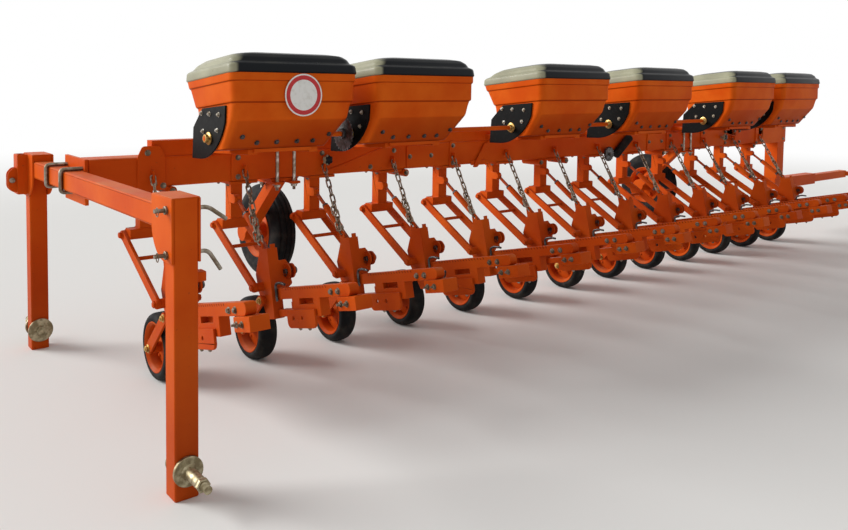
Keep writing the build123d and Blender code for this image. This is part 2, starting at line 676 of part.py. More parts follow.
# Support wheels with their arms
support_rim = wheel_rim(
    SUPPORT_RIM_RADIUS,
    SUPPORT_RIM_WALL,
    SUPPORT_RIM_WIDTH,
    SUPPORT_DISC,
    SUPPORT_HUB_RADIUS,
    SUPPORT_HUB_LENGTH,
    SUPPORT_AXLE_RADIUS + RUNNING_GAP,
)
support_tyre = wheel_tyre(
    SUPPORT_RIM_RADIUS + SEAT_GAP,
    SUPPORT_RADIUS,
    SUPPORT_WIDTH,
    SUPPORT_SHOULDER,
    SUPPORT_RIM_WIDTH,
)
wheel_offset = SUPPORT_WIDTH / 2 + SUPPORT_ARM_GAP + SUPPORT_ARM_SIDE / 2
for side, x in zip(("left", "right"), SUPPORT_CLAMP_XS):
    place = Location((x + wheel_offset, SUPPORT_Y, SUPPORT_Z))
    pieces[f"support_rim_{side}"] = support_rim.moved(place)
    pieces[f"support_tyre_{side}"] = support_tyre.moved(place)

hub_reach = SUPPORT_HUB_LENGTH / 2
arm_top = BAR_BOTTOM - SUPPORT_FOOT_THICK / 2
arm_length = hypot(SUPPORT_Y, arm_top - SUPPORT_Z)
arm_tilt = degrees(atan2(SUPPORT_Y, arm_top - SUPPORT_Z))
with BuildPart() as support_arm:
    with Locations((0, 0, BAR_BOTTOM)):
        Box(SUPPORT_FOOT, BAR_SIDE, SUPPORT_FOOT_THICK, align=(Align.CENTER, Align.CENTER, Align.MAX))
    with BuildSketch(Plane.YZ):
        with Locations((SUPPORT_Y / 2, (SUPPORT_Z + arm_top) / 2)):
            Rectangle(SUPPORT_ARM_SIDE, arm_length, rotation=arm_tilt)
        with Locations((SUPPORT_Y, SUPPORT_Z)):
            Circle(SUPPORT_HUB_RADIUS)
        with Locations((0, BAR_BOTTOM)):
            Rectangle(2 * BAR_SIDE, SUPPORT_ARM_SIDE, align=(Align.CENTER, Align.MIN), mode=Mode.SUBTRACT)
    extrude(amount=SUPPORT_ARM_SIDE / 2, both=True)
    with Locations(Location((0, SUPPORT_Y, SUPPORT_Z), (0, 90, 0))):
        Cylinder(
            SUPPORT_HUB_RADIUS,
            wheel_offset - hub_reach - SEAT_GAP,
            align=(Align.CENTER, Align.CENTER, Align.MIN),
        )
        Cylinder(SUPPORT_AXLE_RADIUS, wheel_offset + hub_reach, align=(Align.CENTER, Align.CENTER, Align.MIN))
pieces["support_arms"] = spread([support_arm.part], [(x, 0, 0) for x in SUPPORT_CLAMP_XS])

# Transport portal: beam across the toolbar's end, two legs, sleeve plates at the beam's ends
leg_half = PORTAL_SIDE / 2
with BuildPart() as portal:
    with BuildSketch(Plane.XZ.offset(-PORTAL_NEAR_Y - leg_half)):
        with Locations((portal_x, PORTAL_BEAM_Z)):
            RectangleRounded(PORTAL_SIDE, PORTAL_SIDE, PORTAL_CORNER)
    extrude(amount=-(PORTAL_FAR_Y - PORTAL_NEAR_Y - PORTAL_SIDE))
    for y, inward in ((PORTAL_NEAR_Y, 1), (PORTAL_FAR_Y, -1)):
        with BuildSketch(Plane.XY):
            with Locations((portal_x, y)):
                RectangleRounded(PORTAL_SIDE, PORTAL_SIDE, PORTAL_CORNER)
        extrude(amount=LEG_TOP_Z)
        for face_x in (portal_x - leg_half - SLEEVE_PLATE, portal_x + leg_half):
            with BuildSketch(Plane.YZ.offset(face_x)) as sleeve:
                with Locations((y + inward * (SLEEVE_LENGTH / 2 - leg_half), LEG_TOP_Z)):
                    Rectangle(SLEEVE_LENGTH, SLEEVE_HEIGHT, align=(Align.CENTER, Align.MAX))
                low_corners = sleeve.vertices().group_by(Axis.Y)[0].sort_by(Axis.X)
                fillet(low_corners[-1 if inward > 0 else 0], SLEEVE_ROUND)
            extrude(amount=SLEEVE_PLATE)
pieces["transport_portal"] = portal.part

# Wheel spindles on the outer sides of the feet, disc and nut on the inner sides
with BuildPart() as spindles:
    for y, outward in ((PORTAL_NEAR_Y, -1), (PORTAL_FAR_Y, 1)):
        for way, radius, start, length in (
            (outward, SPINDLE_FLANGE_RADIUS, 0, SPINDLE_FLANGE),
            (outward, SPINDLE_RADIUS, SPINDLE_FLANGE, SPINDLE_LENGTH),
            (outward, SPINDLE_THREAD_RADIUS, SPINDLE_FLANGE + SPINDLE_LENGTH, SPINDLE_THREAD),
            (-outward, BACK_DISC_RADIUS, 0, BACK_DISC),
            (-outward, BACK_NUT_RADIUS, BACK_DISC, BACK_NUT),
        ):
            spot = (portal_x, y + way * (leg_half + start), SPINDLE_Z)
            with Locations(Location(spot, (-90 * way, 0, 0))):
                Cylinder(radius, length, align=(Align.CENTER, Align.CENTER, Align.MIN))
pieces["wheel_spindles"] = spindles.part

# U-bolts: over the portal beam, and over the toolbar at the support arms
rod_reach = U_BOLT_RADIUS + SEAT_GAP
with BuildPart() as u_bolts:
    portal_out = portal_x - leg_half - rod_reach
    portal_in = portal_x + leg_half
    for side in (-1, 1):
        offset = END_PLATE_Y + side * PORTAL_BOLT_HALF_SPACING
        with BuildLine() as strap:
            FilletPolyline(
                (portal_in, offset, PORTAL_BEAM_Z + leg_half + rod_reach),
                (portal_out, offset, PORTAL_BEAM_Z + leg_half + rod_reach),
                (portal_out, offset, PORTAL_BEAM_Z - leg_half - rod_reach),
                (portal_in, offset, PORTAL_BEAM_Z - leg_half - rod_reach),
                radius=U_BOLT_BEND,
            )
        with BuildSketch(strap.line ^ 0):
            Circle(U_BOLT_RADIUS)
        sweep(path=strap.line)
    for bolt_x in foot_bolt_xs:
        with BuildLine() as strap:
            FilletPolyline(
                (bolt_x, -bar_half - rod_reach, BAR_BOTTOM - U_BOLT_TAIL),
                (bolt_x, -bar_half - rod_reach, bar_top + rod_reach),
                (bolt_x, bar_half + rod_reach, bar_top + rod_reach),
                (bolt_x, bar_half + rod_reach, BAR_BOTTOM - U_BOLT_TAIL),
                radius=U_BOLT_BEND,
            )
        with BuildSketch(strap.line ^ 0):
            Circle(U_BOLT_RADIUS)
        sweep(path=strap.line)
pieces["u_bolts"] = u_bolts.part

# Three-point hitch: two cheeks with lower pins, a cross bar, two mast bars with the top link bore
hitch_front = bar_half + HITCH_REACH
hitch_y = hitch_front - MAST_BAR / 2
with BuildPart() as hitch:
    for side in (-1, 1):
        with Locations((side * CHEEK_X, bar_half, BAR_BOTTOM)):
            Box(HITCH_PLATE, HITCH_REACH, BAR_SIDE, align=(Align.CENTER, Align.MIN, Align.MIN))
        with Locations((side * CHEEK_X, hitch_y, BAR_BOTTOM)):
            Box(
                HITCH_PLATE,
                MAST_BAR,
                BAR_BOTTOM - HITCH_PIN_Z + MAST_BAR / 2,
                align=(Align.CENTER, Align.CENTER, Align.MAX),
            )
        with Locations(Location((side * CHEEK_X, hitch_y, HITCH_PIN_Z), (0, 90 * side, 0))):
            Cylinder(
                HITCH_PIN_RADIUS,
                HITCH_PLATE / 2 + HITCH_PIN_LENGTH,
                align=(Align.CENTER, Align.CENTER, Align.MIN),
            )
        with Locations((side * (MAST_GAP + HITCH_PLATE) / 2, hitch_y, bar_top + SEAT_GAP)):
            Box(
                HITCH_PLATE,
                MAST_BAR,
                MAST_TOP_Z + MAST_BAR / 2 - bar_top,
                align=(Align.CENTER, Align.CENTER, Align.MIN),
            )
    with Locations((0, hitch_y, BAR_BOTTOM + bar_half)):
        Box(2 * (CHEEK_X - HITCH_PLATE / 2 - SEAT_GAP), MAST_BAR, BAR_SIDE)
    with Locations(Location((0, hitch_y, MAST_TOP_Z), (0, 90, 0))):
        Cylinder(MAST_BORE_RADIUS, 2 * (MAST_GAP + HITCH_PLATE), mode=Mode.SUBTRACT)
pieces["hitch_frame"] = hitch.part

# Drawbar: post under the toolbar's right end, sleeve under the post, sliding bar with towing eye
post_x = bar_right - DRAWBAR_POST / 2
sleeve_start = bar_right - DRAWBAR_POST
sleeve_end = sleeve_start + DRAWBAR_SLEEVE_LENGTH
eye_x = sleeve_end + DRAWBAR_BAR_LENGTH + EYE_RADIUS
sleeve_top = DRAWBAR_Z + DRAWBAR_SLEEVE / 2
with BuildPart() as drawbar:
    with Locations((post_x, 0, BAR_BOTTOM)):
        Box(
            DRAWBAR_POST,
            DRAWBAR_POST,
            BAR_BOTTOM - sleeve_top - SEAT_GAP,
            align=(Align.CENTER, Align.CENTER, Align.MAX),
        )
    with Locations((sleeve_start, 0, DRAWBAR_Z)):
        Box(
            DRAWBAR_SLEEVE_LENGTH,
            DRAWBAR_SLEEVE,
            DRAWBAR_SLEEVE,
            align=(Align.MIN, Align.CENTER, Align.CENTER),
        )
    with Locations((sleeve_end + SEAT_GAP, 0, DRAWBAR_Z)):
        Box(
            DRAWBAR_BAR_LENGTH + EYE_RADIUS / 2,
            DRAWBAR_BAR,
            DRAWBAR_BAR,
            align=(Align.MIN, Align.CENTER, Align.CENTER),
        )
    with Locations((eye_x, 0, DRAWBAR_Z)):
        Cylinder(EYE_RADIUS, EYE_THICK)
        Cylinder(EYE_BORE_RADIUS, 2 * DRAWBAR_BAR, mode=Mode.SUBTRACT)
pieces["drawbar"] = drawbar.part

# The origin is the middle of the outline on the floor
outline = Compound(children=[part.moved(Location()) for part in pieces.values()]).bounding_box()
centre = outline.center()
to_origin = Location((-centre.X, -centre.Y, -outline.min.Z))
print("moved to origin by", tuple(round(v, 4) for v in (-centre.X, -centre.Y, -outline.min.Z)))
for name, part in pieces.items():
    piece = part.moved(to_origin)
    piece.label = name
    export_step(piece, f"parts/{name}.step")
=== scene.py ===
# %% [markdown]
# # Dressing a row crop cultivator
# The machine is an orange toolbar with thirteen hoeing units on parallel links, six
# fertiliser hoppers, two support wheels, a road portal and a drawbar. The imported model
# gives every solid at its true place. This lesson loads it, gives each solid a finish,
# and builds the rounded, thin and small pieces that flat solids only hint at.

# %% Load the frame
import json
import math
import bmesh
import bpy
import numpy as np
from mathutils import Matrix, Vector


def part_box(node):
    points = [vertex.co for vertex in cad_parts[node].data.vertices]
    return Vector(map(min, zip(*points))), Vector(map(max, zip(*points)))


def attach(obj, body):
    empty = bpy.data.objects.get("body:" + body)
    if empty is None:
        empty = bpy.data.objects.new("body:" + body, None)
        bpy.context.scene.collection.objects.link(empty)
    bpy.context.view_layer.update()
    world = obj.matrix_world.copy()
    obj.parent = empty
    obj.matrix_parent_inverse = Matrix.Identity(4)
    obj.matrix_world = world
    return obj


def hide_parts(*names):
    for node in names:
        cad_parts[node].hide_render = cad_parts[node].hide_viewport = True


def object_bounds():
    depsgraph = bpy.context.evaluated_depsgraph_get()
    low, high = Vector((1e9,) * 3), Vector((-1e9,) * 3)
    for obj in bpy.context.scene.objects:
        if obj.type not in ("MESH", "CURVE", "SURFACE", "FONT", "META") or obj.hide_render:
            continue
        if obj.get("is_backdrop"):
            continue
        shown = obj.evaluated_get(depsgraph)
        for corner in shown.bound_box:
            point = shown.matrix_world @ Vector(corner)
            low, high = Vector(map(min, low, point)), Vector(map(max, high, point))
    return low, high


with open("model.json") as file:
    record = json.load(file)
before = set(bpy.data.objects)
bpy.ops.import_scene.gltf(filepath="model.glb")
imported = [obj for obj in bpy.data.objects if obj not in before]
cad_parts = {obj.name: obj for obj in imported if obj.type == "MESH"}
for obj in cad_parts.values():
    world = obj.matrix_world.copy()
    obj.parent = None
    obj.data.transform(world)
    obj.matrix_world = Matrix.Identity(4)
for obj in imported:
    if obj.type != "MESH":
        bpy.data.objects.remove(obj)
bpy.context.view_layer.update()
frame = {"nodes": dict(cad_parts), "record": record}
nodes = frame["nodes"]
node_slot = {s["node"]: s["material_slot"] for s in frame["record"]["subparts"]}
scene = bpy.context.scene
scene.view_settings.view_transform = "Standard"

# %% [markdown]
# ## Places to build from
# Everything that is added has to sit on the solids, so its place is read from them. The
# toolbar and the thirteen wheels give the axes of the machine, and the links give the two
# pivots of every unit. A node can hold many separate solids: walking over faces that share
# corners finds them again, and each one's box is then as good as a drawing.

# %% Read axes and solids
def middle(node):
    low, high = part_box(node)
    return (low + high) / 2


def solids_of(node):
    """Boxes (low, high) of the separate solids of a node, ordered along X."""
    mesh = nodes[node].data
    points = np.array([v.co[:] for v in mesh.vertices])
    _, corner = np.unique(np.round(points * 1e5).astype(np.int64), axis=0, return_inverse=True)
    corner = corner.ravel()
    owner = list(range(corner.max() + 1))

    def root(k):
        while owner[k] != k:
            owner[k] = owner[owner[k]]
            k = owner[k]
        return k

    for face in mesh.polygons:
        first, *rest = (root(corner[v]) for v in face.vertices)
        for other in rest:
            owner[other] = first
            first = root(first)
    groups = np.array([root(c) for c in corner])
    boxes = [(points[groups == g].min(0), points[groups == g].max(0)) for g in np.unique(groups)]
    return sorted(boxes, key=lambda box: round(box[0][0] + box[1][0], 3))


BAR_HALF = 0.070
LINK_HALF = 0.022
GANG_PITCH = -13.8

unit_xs = [middle(f"gauge_rim_{k:02d}").x for k in range(1, 14)]
machine_x = sum(unit_xs) / len(unit_xs)
bar_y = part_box("toolbar")[0].y + BAR_HALF
bar_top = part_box("toolbar")[1].z
bar_bottom = bar_top - 2 * BAR_HALF
link_low, link_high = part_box("lower_links")
front_pivot = (link_high.y - LINK_HALF, link_high.z - LINK_HALF)
rear_pivot = (link_low.y + LINK_HALF, link_low.z + LINK_HALF)
link_face = unit_xs[0] - link_low.x


def machine(x, y, z):
    """A point from the middle of the machine: along the bar, forward of it, above the floor."""
    return np.array((machine_x + x, bar_y + y, z))


def turn_x(degrees):
    return np.array(Matrix.Rotation(math.radians(degrees), 3, "X"))


GANG_TURN = turn_x(GANG_PITCH)


def on_gang(x, back, up):
    """A point of a gang: sideways, back from the rear pivot along the beam, and above it."""
    return np.array((x, *rear_pivot)) + GANG_TURN @ np.array((0, -back, up))


print("units every", round(unit_xs[1] - unit_xs[0], 3), "m, bar top at", round(bar_top, 3), "m")

# %% [markdown]
# ## The camera
# The picture was taken from behind the left end, at chest height, with the lens a little
# below level and the machine in the lower part of the frame. A camera in Blender can be
# aimed with a constraint, but here its three axes are worked out from turn, tilt and roll,
# so that every number has a plain meaning. The lens shift moves the frame without tilting
# the uprights.

# %% Place the camera
CAMERA_OFFSET = Vector((-4.016, -3.604, 1.335))
CAMERA_TURN = math.radians(39.36)
CAMERA_TILT = math.radians(3.25)
CAMERA_ROLL = math.radians(0.79)
CAMERA_LENS = 33.66
CAMERA_SHIFT_Y = -0.1617
SENSOR_WIDTH, VIEW_REACH = 36, 200

camera = bpy.data.objects.new("camera", bpy.data.cameras.new("camera"))
scene.collection.objects.link(camera)
scene.camera = camera
camera.data.sensor_width = SENSOR_WIDTH
camera.data.lens = CAMERA_LENS
camera.data.shift_y = CAMERA_SHIFT_Y
camera.data.clip_end = VIEW_REACH
ahead = Vector((
    math.sin(CAMERA_TURN) * math.cos(CAMERA_TILT),
    math.cos(CAMERA_TURN) * math.cos(CAMERA_TILT),
    -math.sin(CAMERA_TILT),
))
level = Vector((math.cos(CAMERA_TURN), -math.sin(CAMERA_TURN), 0))
upright = level.cross(ahead)
right = math.cos(CAMERA_ROLL) * level + math.sin(CAMERA_ROLL) * upright
up = math.cos(CAMERA_ROLL) * upright - math.sin(CAMERA_ROLL) * level
camera.matrix_world = Matrix.Translation(Vector((machine_x, bar_y, 0)) + CAMERA_OFFSET) @ Matrix(
    (right, up, -ahead)
).transposed().to_4x4()
print("camera at", [round(v, 3) for v in camera.location])

# %% [markdown]
# ## Writing shaders as sums
# A finish is a small graph of nodes, and graphs are hard to read in code. This class wraps
# one socket. Adding or multiplying two wrapped sockets puts a Math node between them, so a
# mask can be written the way it is thought. Every other node comes from one method that
# sets the node's options first and then fills its sockets.

# %% A socket that does arithmetic
class Signal:
    """One output socket of a node tree, usable in Python arithmetic."""

    def __init__(self, tree, socket=None):
        self.tree = tree
        self.socket = socket

    def node(self, kind, settings=None, values=None, output=0):
        """Adds a node: its settings first, then its sockets' values or links."""
        made = self.tree.nodes.new(kind)
        for name, value in (settings or {}).items():
            setattr(made, name, value)
        for name, value in (values or {}).items():
            if isinstance(value, Signal):
                self.tree.links.new(value.socket, made.inputs[name])
            else:
                made.inputs[name].default_value = value
        return Signal(self.tree, made.outputs[output])

    def math(self, operation, *terms):
        return self.node("ShaderNodeMath", {"operation": operation}, dict(enumerate(terms)))

    def __add__(self, other):
        return self.math("ADD", self, other)

    def __sub__(self, other):
        return self.math("SUBTRACT", self, other)

    def __rsub__(self, other):
        return self.math("SUBTRACT", other, self)

    def __mul__(self, other):
        return self.math("MULTIPLY", self, other)

    __radd__ = __add__
    __rmul__ = __mul__

    def step(self, low, high):
        """0 below low, 1 above high, smooth between."""
        return self.node(
            "ShaderNodeMapRange",
            {"interpolation_type": "SMOOTHSTEP"},
            {"Value": self, "From Min": low, "From Max": high},
        )

    def mix(self, first, second):
        """A colour between two colours, with this signal as the share of the second."""
        return self.node(
            "ShaderNodeMix",
            {"data_type": "RGBA"},
            {0: self, 6: first, 7: second},
            output=2,
        )

    def noise(self, scale, detail=3.0, stretch=(1, 1, 1)):
        """Cloudy noise over the object's own coordinates, in cycles a metre."""
        spot = self.node("ShaderNodeTexCoord", output=3)
        spot = self.node("ShaderNodeVectorMath", {"operation": "MULTIPLY"}, {0: spot, 1: stretch})
        values = {"Vector": spot, "Scale": scale, "Detail": detail}
        return self.node("ShaderNodeTexNoise", None, values)

    def facing(self, axis, low, high):
        """Rises from 0 to 1 as a face turns towards axis 0, 1 or 2 (X, Y or Z)."""
        normal = self.node("ShaderNodeNewGeometry", output=1)
        return self.node("ShaderNodeSeparateXYZ", None, {0: normal}, output=axis).step(low, high)

    def height(self, low, high):
        """Rises from 0 to 1 between two heights above the floor, in metres."""
        place = self.node("ShaderNodeNewGeometry", output=0)
        return self.node("ShaderNodeSeparateXYZ", None, {0: place}, output=2).step(low, high)

    def facing_up(self):
        """1 on faces that look at the sky, 0 on walls and undersides."""
        return self.facing(2, 0.35, 0.95)


def rgb(r, g, b):
    """A colour given as it looks on screen, from 0 to 255, as scene-linear values."""
    shares = [v / 255 for v in (r, g, b)]
    linear = [v / 12.92 if v <= 0.04045 else ((v + 0.055) / 1.055) ** 2.4 for v in shares]
    return (*linear, 1)


def new_finish(name, colour, roughness, metallic=0.0, gloss=0.5):
    """A material, a Signal to start from, and the shader that takes the results."""
    material = bpy.data.materials.new(name)
    material.use_nodes = True
    tree = material.node_tree
    skin = tree.nodes["Principled BSDF"]
    skin.inputs["Base Color"].default_value = colour
    skin.inputs["Roughness"].default_value = roughness
    skin.inputs["Metallic"].default_value = metallic
    skin.inputs["Specular IOR Level"].default_value = gloss
    material.diffuse_color = colour
    return material, Signal(tree), skin


def feed(skin, socket, signal):
    signal.tree.links.new(signal.socket, skin.inputs[socket])


def roughen(start, skin, height, strength, distance):
    """Bump from a height signal into the shader's normal."""
    bump = start.node(
        "ShaderNodeBump", None, {"Strength": strength, "Distance": distance, "Height": height}
    )
    feed(skin, "Normal", bump)


print("shader tools ready")

# %% [markdown]
# ## Orange paint
# The frame is sprayed steel: a warm orange with a fine orange-peel skin, slightly uneven
# film thickness, and pale dust where faces look up. Real paint varies over a hand's width,
# so a broad noise shifts the hue and a finer one the gloss. Small dark scuffs come from a
# fine noise cut off high. The dust comes from the normal's Z, which stays right when a
# piece is turned over, and painted shade darkens the paint towards the floor.

# %% Orange paint
def orange_paint():
    material, start, skin = new_finish("orange_paint", rgb(208, 84, 18), 0.42, gloss=0.04)
    broad = start.noise(3.1, 4)
    fine = start.noise(38, 5)
    scuff = start.noise(64, 7).step(0.66, 0.76) * 0.5
    dust = start.facing_up() * start.noise(9, 6).step(0.38, 0.75) * 0.3
    paint = broad.step(0.3, 0.72).mix(rgb(200, 74, 14), rgb(216, 94, 22))
    worn = scuff.mix(paint, rgb(132, 62, 34))
    # Painted shade: below 0.85 m the paint is mixed into a dark red-brown, more strongly towards the floor
    # and broken up by noise.
    painted_low_shade = (1 - start.height(0.15, 0.85)) * (0.25 + 0.45 * start.noise(5, 4))
    worn = painted_low_shade.mix(worn, rgb(140, 44, 16))
    feed(skin, "Base Color", dust.mix(worn, rgb(206, 160, 118)))
    feed(skin, "Roughness", 0.32 + 0.16 * fine + 0.3 * dust)
    roughen(start, skin, start.noise(420, 2), 0.10, 0.0005)
    return material


# %% [markdown]
# ## Moulded plastic
# The hoppers are spun polyethylene: softer and more even than paint, a little waxy, with
# the faint mottle of the mould, and painted shade on the walls that face down to the foot.
# The lids are the same plastic in black. A mask on the normal's X mixes a pale grey into
# their left sides as a painted highlight of a low sun, and a little dust lies on the crown.

# %% Hopper and lid plastics
def hopper_plastic():
    material, start, skin = new_finish("hopper_plastic", rgb(214, 88, 16), 0.45, gloss=0.04)
    cloud = start.noise(5.5, 5)
    runs = start.noise(14, 3, stretch=(1, 1, 0.12))
    dust = start.facing_up() * runs.step(0.45, 0.8) * 0.3
    body = cloud.step(0.32, 0.7).mix(rgb(208, 80, 12), rgb(220, 98, 22))
    # Painted shade: walls that face down, where the tub draws in to its foot, are mixed towards a dark
    # red-brown.
    painted_underside_shade = 0.75 - 0.75 * start.facing(2, -0.62, -0.42)
    body = painted_underside_shade.mix(body, rgb(140, 46, 10))
    feed(skin, "Base Color", dust.mix(body, rgb(214, 170, 128)))
    feed(skin, "Roughness", 0.36 + 0.2 * runs)
    roughen(start, skin, start.noise(260, 3), 0.12, 0.0006)
    return material


def lid_plastic():
    material, start, skin = new_finish("lid_plastic", rgb(10, 13, 18), 0.3, gloss=0.14)
    dust = start.facing_up() * start.noise(7, 6).step(0.4, 0.8) * 0.12
    body = dust.mix(rgb(8, 12, 18), rgb(136, 130, 116))
    # Painted highlight: faces turned to the left get a pale grey, broken up by noise, for the glare of a low
    # sun.
    painted_glare = (1 - start.facing(0, -0.55, -0.2)) * (0.5 + 0.6 * start.noise(6, 5))
    feed(skin, "Base Color", painted_glare.mix(body, rgb(172, 170, 142)))
    feed(skin, "Roughness", 0.22 + 0.16 * start.noise(11, 4) + 0.5 * dust)
    roughen(start, skin, start.noise(520, 2), 0.15, 0.0005)
    return material


# %% [markdown]
# ## Black paint, rubber and steel
# The end plates are painted black and pick up dust at once. Tyre rubber is nearly black,
# dull on the sides and dusty on the tread. Zinc plated steel is a metal with a cloudy
# skin; passivated nuts are yellower, chains carry a brown film where links rub, and the
# rods and pins of the road portal have worn dull. The share says how much is stained.

# %% Dark and bright finishes
def black_paint():
    material, start, skin = new_finish("black_paint", rgb(10, 11, 11), 0.5, gloss=0.08)
    scuff = start.noise(55, 6).step(0.55, 0.85)
    feed(skin, "Base Color", (0.3 * scuff).mix(rgb(8, 9, 9), rgb(72, 68, 60)))
    feed(skin, "Roughness", 0.36 + 0.3 * start.noise(24, 4))
    roughen(start, skin, start.noise(300, 2), 0.15, 0.0005)
    return material


def tyre_rubber():
    material, start, skin = new_finish("tyre_rubber", rgb(18, 18, 19), 0.75, gloss=0.15)
    dust = start.noise(17, 6).step(0.42, 0.8) * 0.3
    feed(skin, "Base Color", dust.mix(rgb(15, 15, 16), rgb(84, 77, 68)))
    feed(skin, "Roughness", 0.58 + 0.3 * start.noise(30, 4))
    roughen(start, skin, start.noise(190, 4), 0.3, 0.0008)
    return material


def steel(name, clean, stained, share=0.35):
    """A plated metal, stained over a share of its skin."""
    material, start, skin = new_finish(name, clean, 0.35, 1.0)
    stain = start.noise(48, 6).step(0.62 - share, 0.98 - share)
    feed(skin, "Base Color", stain.mix(clean, stained))
    feed(skin, "Roughness", 0.28 + 0.28 * start.noise(85, 4) + 0.1 * stain)
    roughen(start, skin, start.noise(350, 3), 0.2, 0.0004)
    return material


def enamel(name, colour, worn):
    """A plain enamelled sheet with faint blotches."""
    material, start, skin = new_finish(name, colour, 0.4)
    feed(skin, "Base Color", start.noise(40, 5).step(0.45, 0.8).mix(colour, worn))
    feed(skin, "Roughness", 0.3 + 0.2 * start.noise(60, 4))
    return material


FINISHES = {
    "orange_paint": orange_paint(),
    "orange_plastic": hopper_plastic(),
    "black_plastic": lid_plastic(),
    "black_paint": black_paint(),
    "rubber": tyre_rubber(),
    "zinc_steel": steel("zinc_steel", rgb(205, 203, 196), rgb(150, 140, 122)),
}
chain_steel = steel("chain_steel", rgb(164, 154, 138), rgb(104, 84, 62), 0.3)
dark_steel = steel("dark_steel", rgb(104, 104, 106), rgb(66, 62, 58), 0.3)
worn_zinc = steel("worn_zinc", rgb(158, 150, 138), rgb(112, 98, 80), 0.35)
yellow_zinc = steel("yellow_zinc", rgb(206, 176, 108), rgb(158, 120, 66), 0.3)
print("finishes:", sorted(FINISHES))

# %% [markdown]
# ## Soft edges on the welded steel
# Folded and flame-cut plate never has knife edges: a two millimetre round catches a line
# of light and makes steel look like steel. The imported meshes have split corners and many
# flat triangles, so a stack of modifiers first welds the corners, then joins the flat
# triangles, then bevels what is still sharp. The solids themselves stay untouched. The
# metering shafts are steel under the same orange paint.

# %% Finish the solids that stay
EDGE_ROUND = 0.0022
WELD_REACH = 1e-5
FLAT_ANGLE, SHARP_ANGLE = math.radians(1), math.radians(32)
REBUILT = ("lift_chains", "u_bolts", "wheel_spindles", "gauge_", "support_rim", "support_tyre")
PAINTED_OVER = {"meter_shafts": "orange_paint"}


def soften(node):
    """Weld, merge flats, bevel and even out the normals of a node that stays in view."""
    piece = nodes[node]
    weld = piece.modifiers.new("weld", "WELD")
    weld.merge_threshold = WELD_REACH
    flats = piece.modifiers.new("flats", "DECIMATE")
    flats.decimate_type = "DISSOLVE"
    flats.angle_limit = FLAT_ANGLE
    edge = piece.modifiers.new("edge", "BEVEL")
    edge.width = EDGE_ROUND
    edge.segments = 2
    edge.limit_method = "ANGLE"
    edge.angle_limit = SHARP_ANGLE
    edge.use_clamp_overlap = False
    piece.modifiers.new("normals", "WEIGHTED_NORMAL")


def clothe(node):
    """The finish of the node's own slot or of its paint, in place of the preview material."""
    data = nodes[node].data
    data.materials.clear()
    data.materials.append(FINISHES[PAINTED_OVER.get(node, node_slot[node])])


for name in nodes:
    clothe(name)
    moulded = node_slot[name] in ("orange_plastic", "black_plastic")
    if not moulded and not name.startswith(REBUILT):
        soften(name)
print("softened", sum(bool(o.modifiers) for o in nodes.values()), "nodes")

# %% [markdown]
# ## Small mesh tools
# Round and repeated pieces are made from arrays of points. A loft joins rings of equal
# length, a lathe is a loft round the X axis, and a tube is a loft along a path. A mesh is
# just its points and its faces until many of them are joined into one piece, because a
# thousand bolts as a thousand objects would only slow everything down.

# %% Lofts, lathes and tubes
def circle(steps, start=0.0):
    """Cosine and sine of equal steps round a circle."""
    turns = start + np.linspace(0, 2 * math.pi, steps, endpoint=False)
    return list(zip(np.cos(turns), np.sin(turns)))


def loft(rings, closed=False):
    """Faces between rings of points; closed joins the last ring to the first."""
    rings = [np.asarray(r, float) for r in rings]
    count = len(rings[0])
    points = np.concatenate(rings)
    faces = []
    for k in range(len(rings) if closed else len(rings) - 1):
        here, there = k * count, ((k + 1) % len(rings)) * count
        for j in range(count):
            n = (j + 1) % count
            faces.append((here + j, here + n, there + n, there + j))
    if not closed:
        faces.append(tuple(range(count))[::-1])
        faces.append(tuple(range(len(points) - count, len(points))))
    return points, faces


def lathe(outline, steps=48):
    """Turns a closed outline of (along X, radius) round the X axis."""
    return loft([[(x, r * c, r * s) for x, r in outline] for c, s in circle(steps)], closed=True)


def turned(profile, steps=18):
    """A solid turned about Z from (radius, height) pairs, from its foot up."""
    return loft([[(r * c, r * s, z) for c, s in circle(steps)] for r, z in profile])


def tube(path, radius, sides=8, closed=False):
    """A round rod along a path; the frame is carried along so that it doesn't twist."""
    path = np.asarray(path, float)
    radii = np.broadcast_to(radius, len(path))
    if closed:
        tangents = np.roll(path, -1, 0) - np.roll(path, 1, 0)
    else:
        tangents = np.gradient(path, axis=0)
    tangents /= np.linalg.norm(tangents, axis=1)[:, None]
    side = np.cross(tangents[0], (0.36, 0.48, 0.8))
    rings = []
    for spot, along, r in zip(path, tangents, radii):
        side = side - along * (side @ along)
        side /= np.linalg.norm(side)
        other = np.cross(along, side)
        rings.append([spot + r * (c * side + s * other) for c, s in circle(sides)])
    return loft(rings, closed=closed)


def rounded(points, radius, steps=4, closed=True):
    """Corners of a path or a stack of rows swept into curves; an open one keeps its ends."""
    points = np.asarray(points, float)
    made = []
    for k, here in enumerate(points):
        if not closed and k in (0, len(points) - 1):
            made.append(here)
            continue
        before, after = points[k - 1] - here, points[(k + 1) % len(points)] - here
        far, near = np.linalg.norm(before), np.linalg.norm(after)
        reach = min(radius, 0.45 * far, 0.45 * near)
        first, last = here + before / far * reach, here + after / near * reach
        for t in np.linspace(0, 1, steps + 1):
            made.append((1 - t) ** 2 * first + 2 * t * (1 - t) * here + t * t * last)
    return np.array(made)


def inset(outline, gap):
    """An anticlockwise outline moved inwards by a gap."""
    points = np.asarray(outline, float)
    edges = np.roll(points, -1, 0) - points
    inward = np.stack([-edges[:, 1], edges[:, 0]], 1) / np.linalg.norm(edges, axis=1)[:, None]
    before = np.roll(inward, 1, 0)
    share = gap / (1 + (before * inward).sum(1))
    return points + (before + inward) * share[:, None]


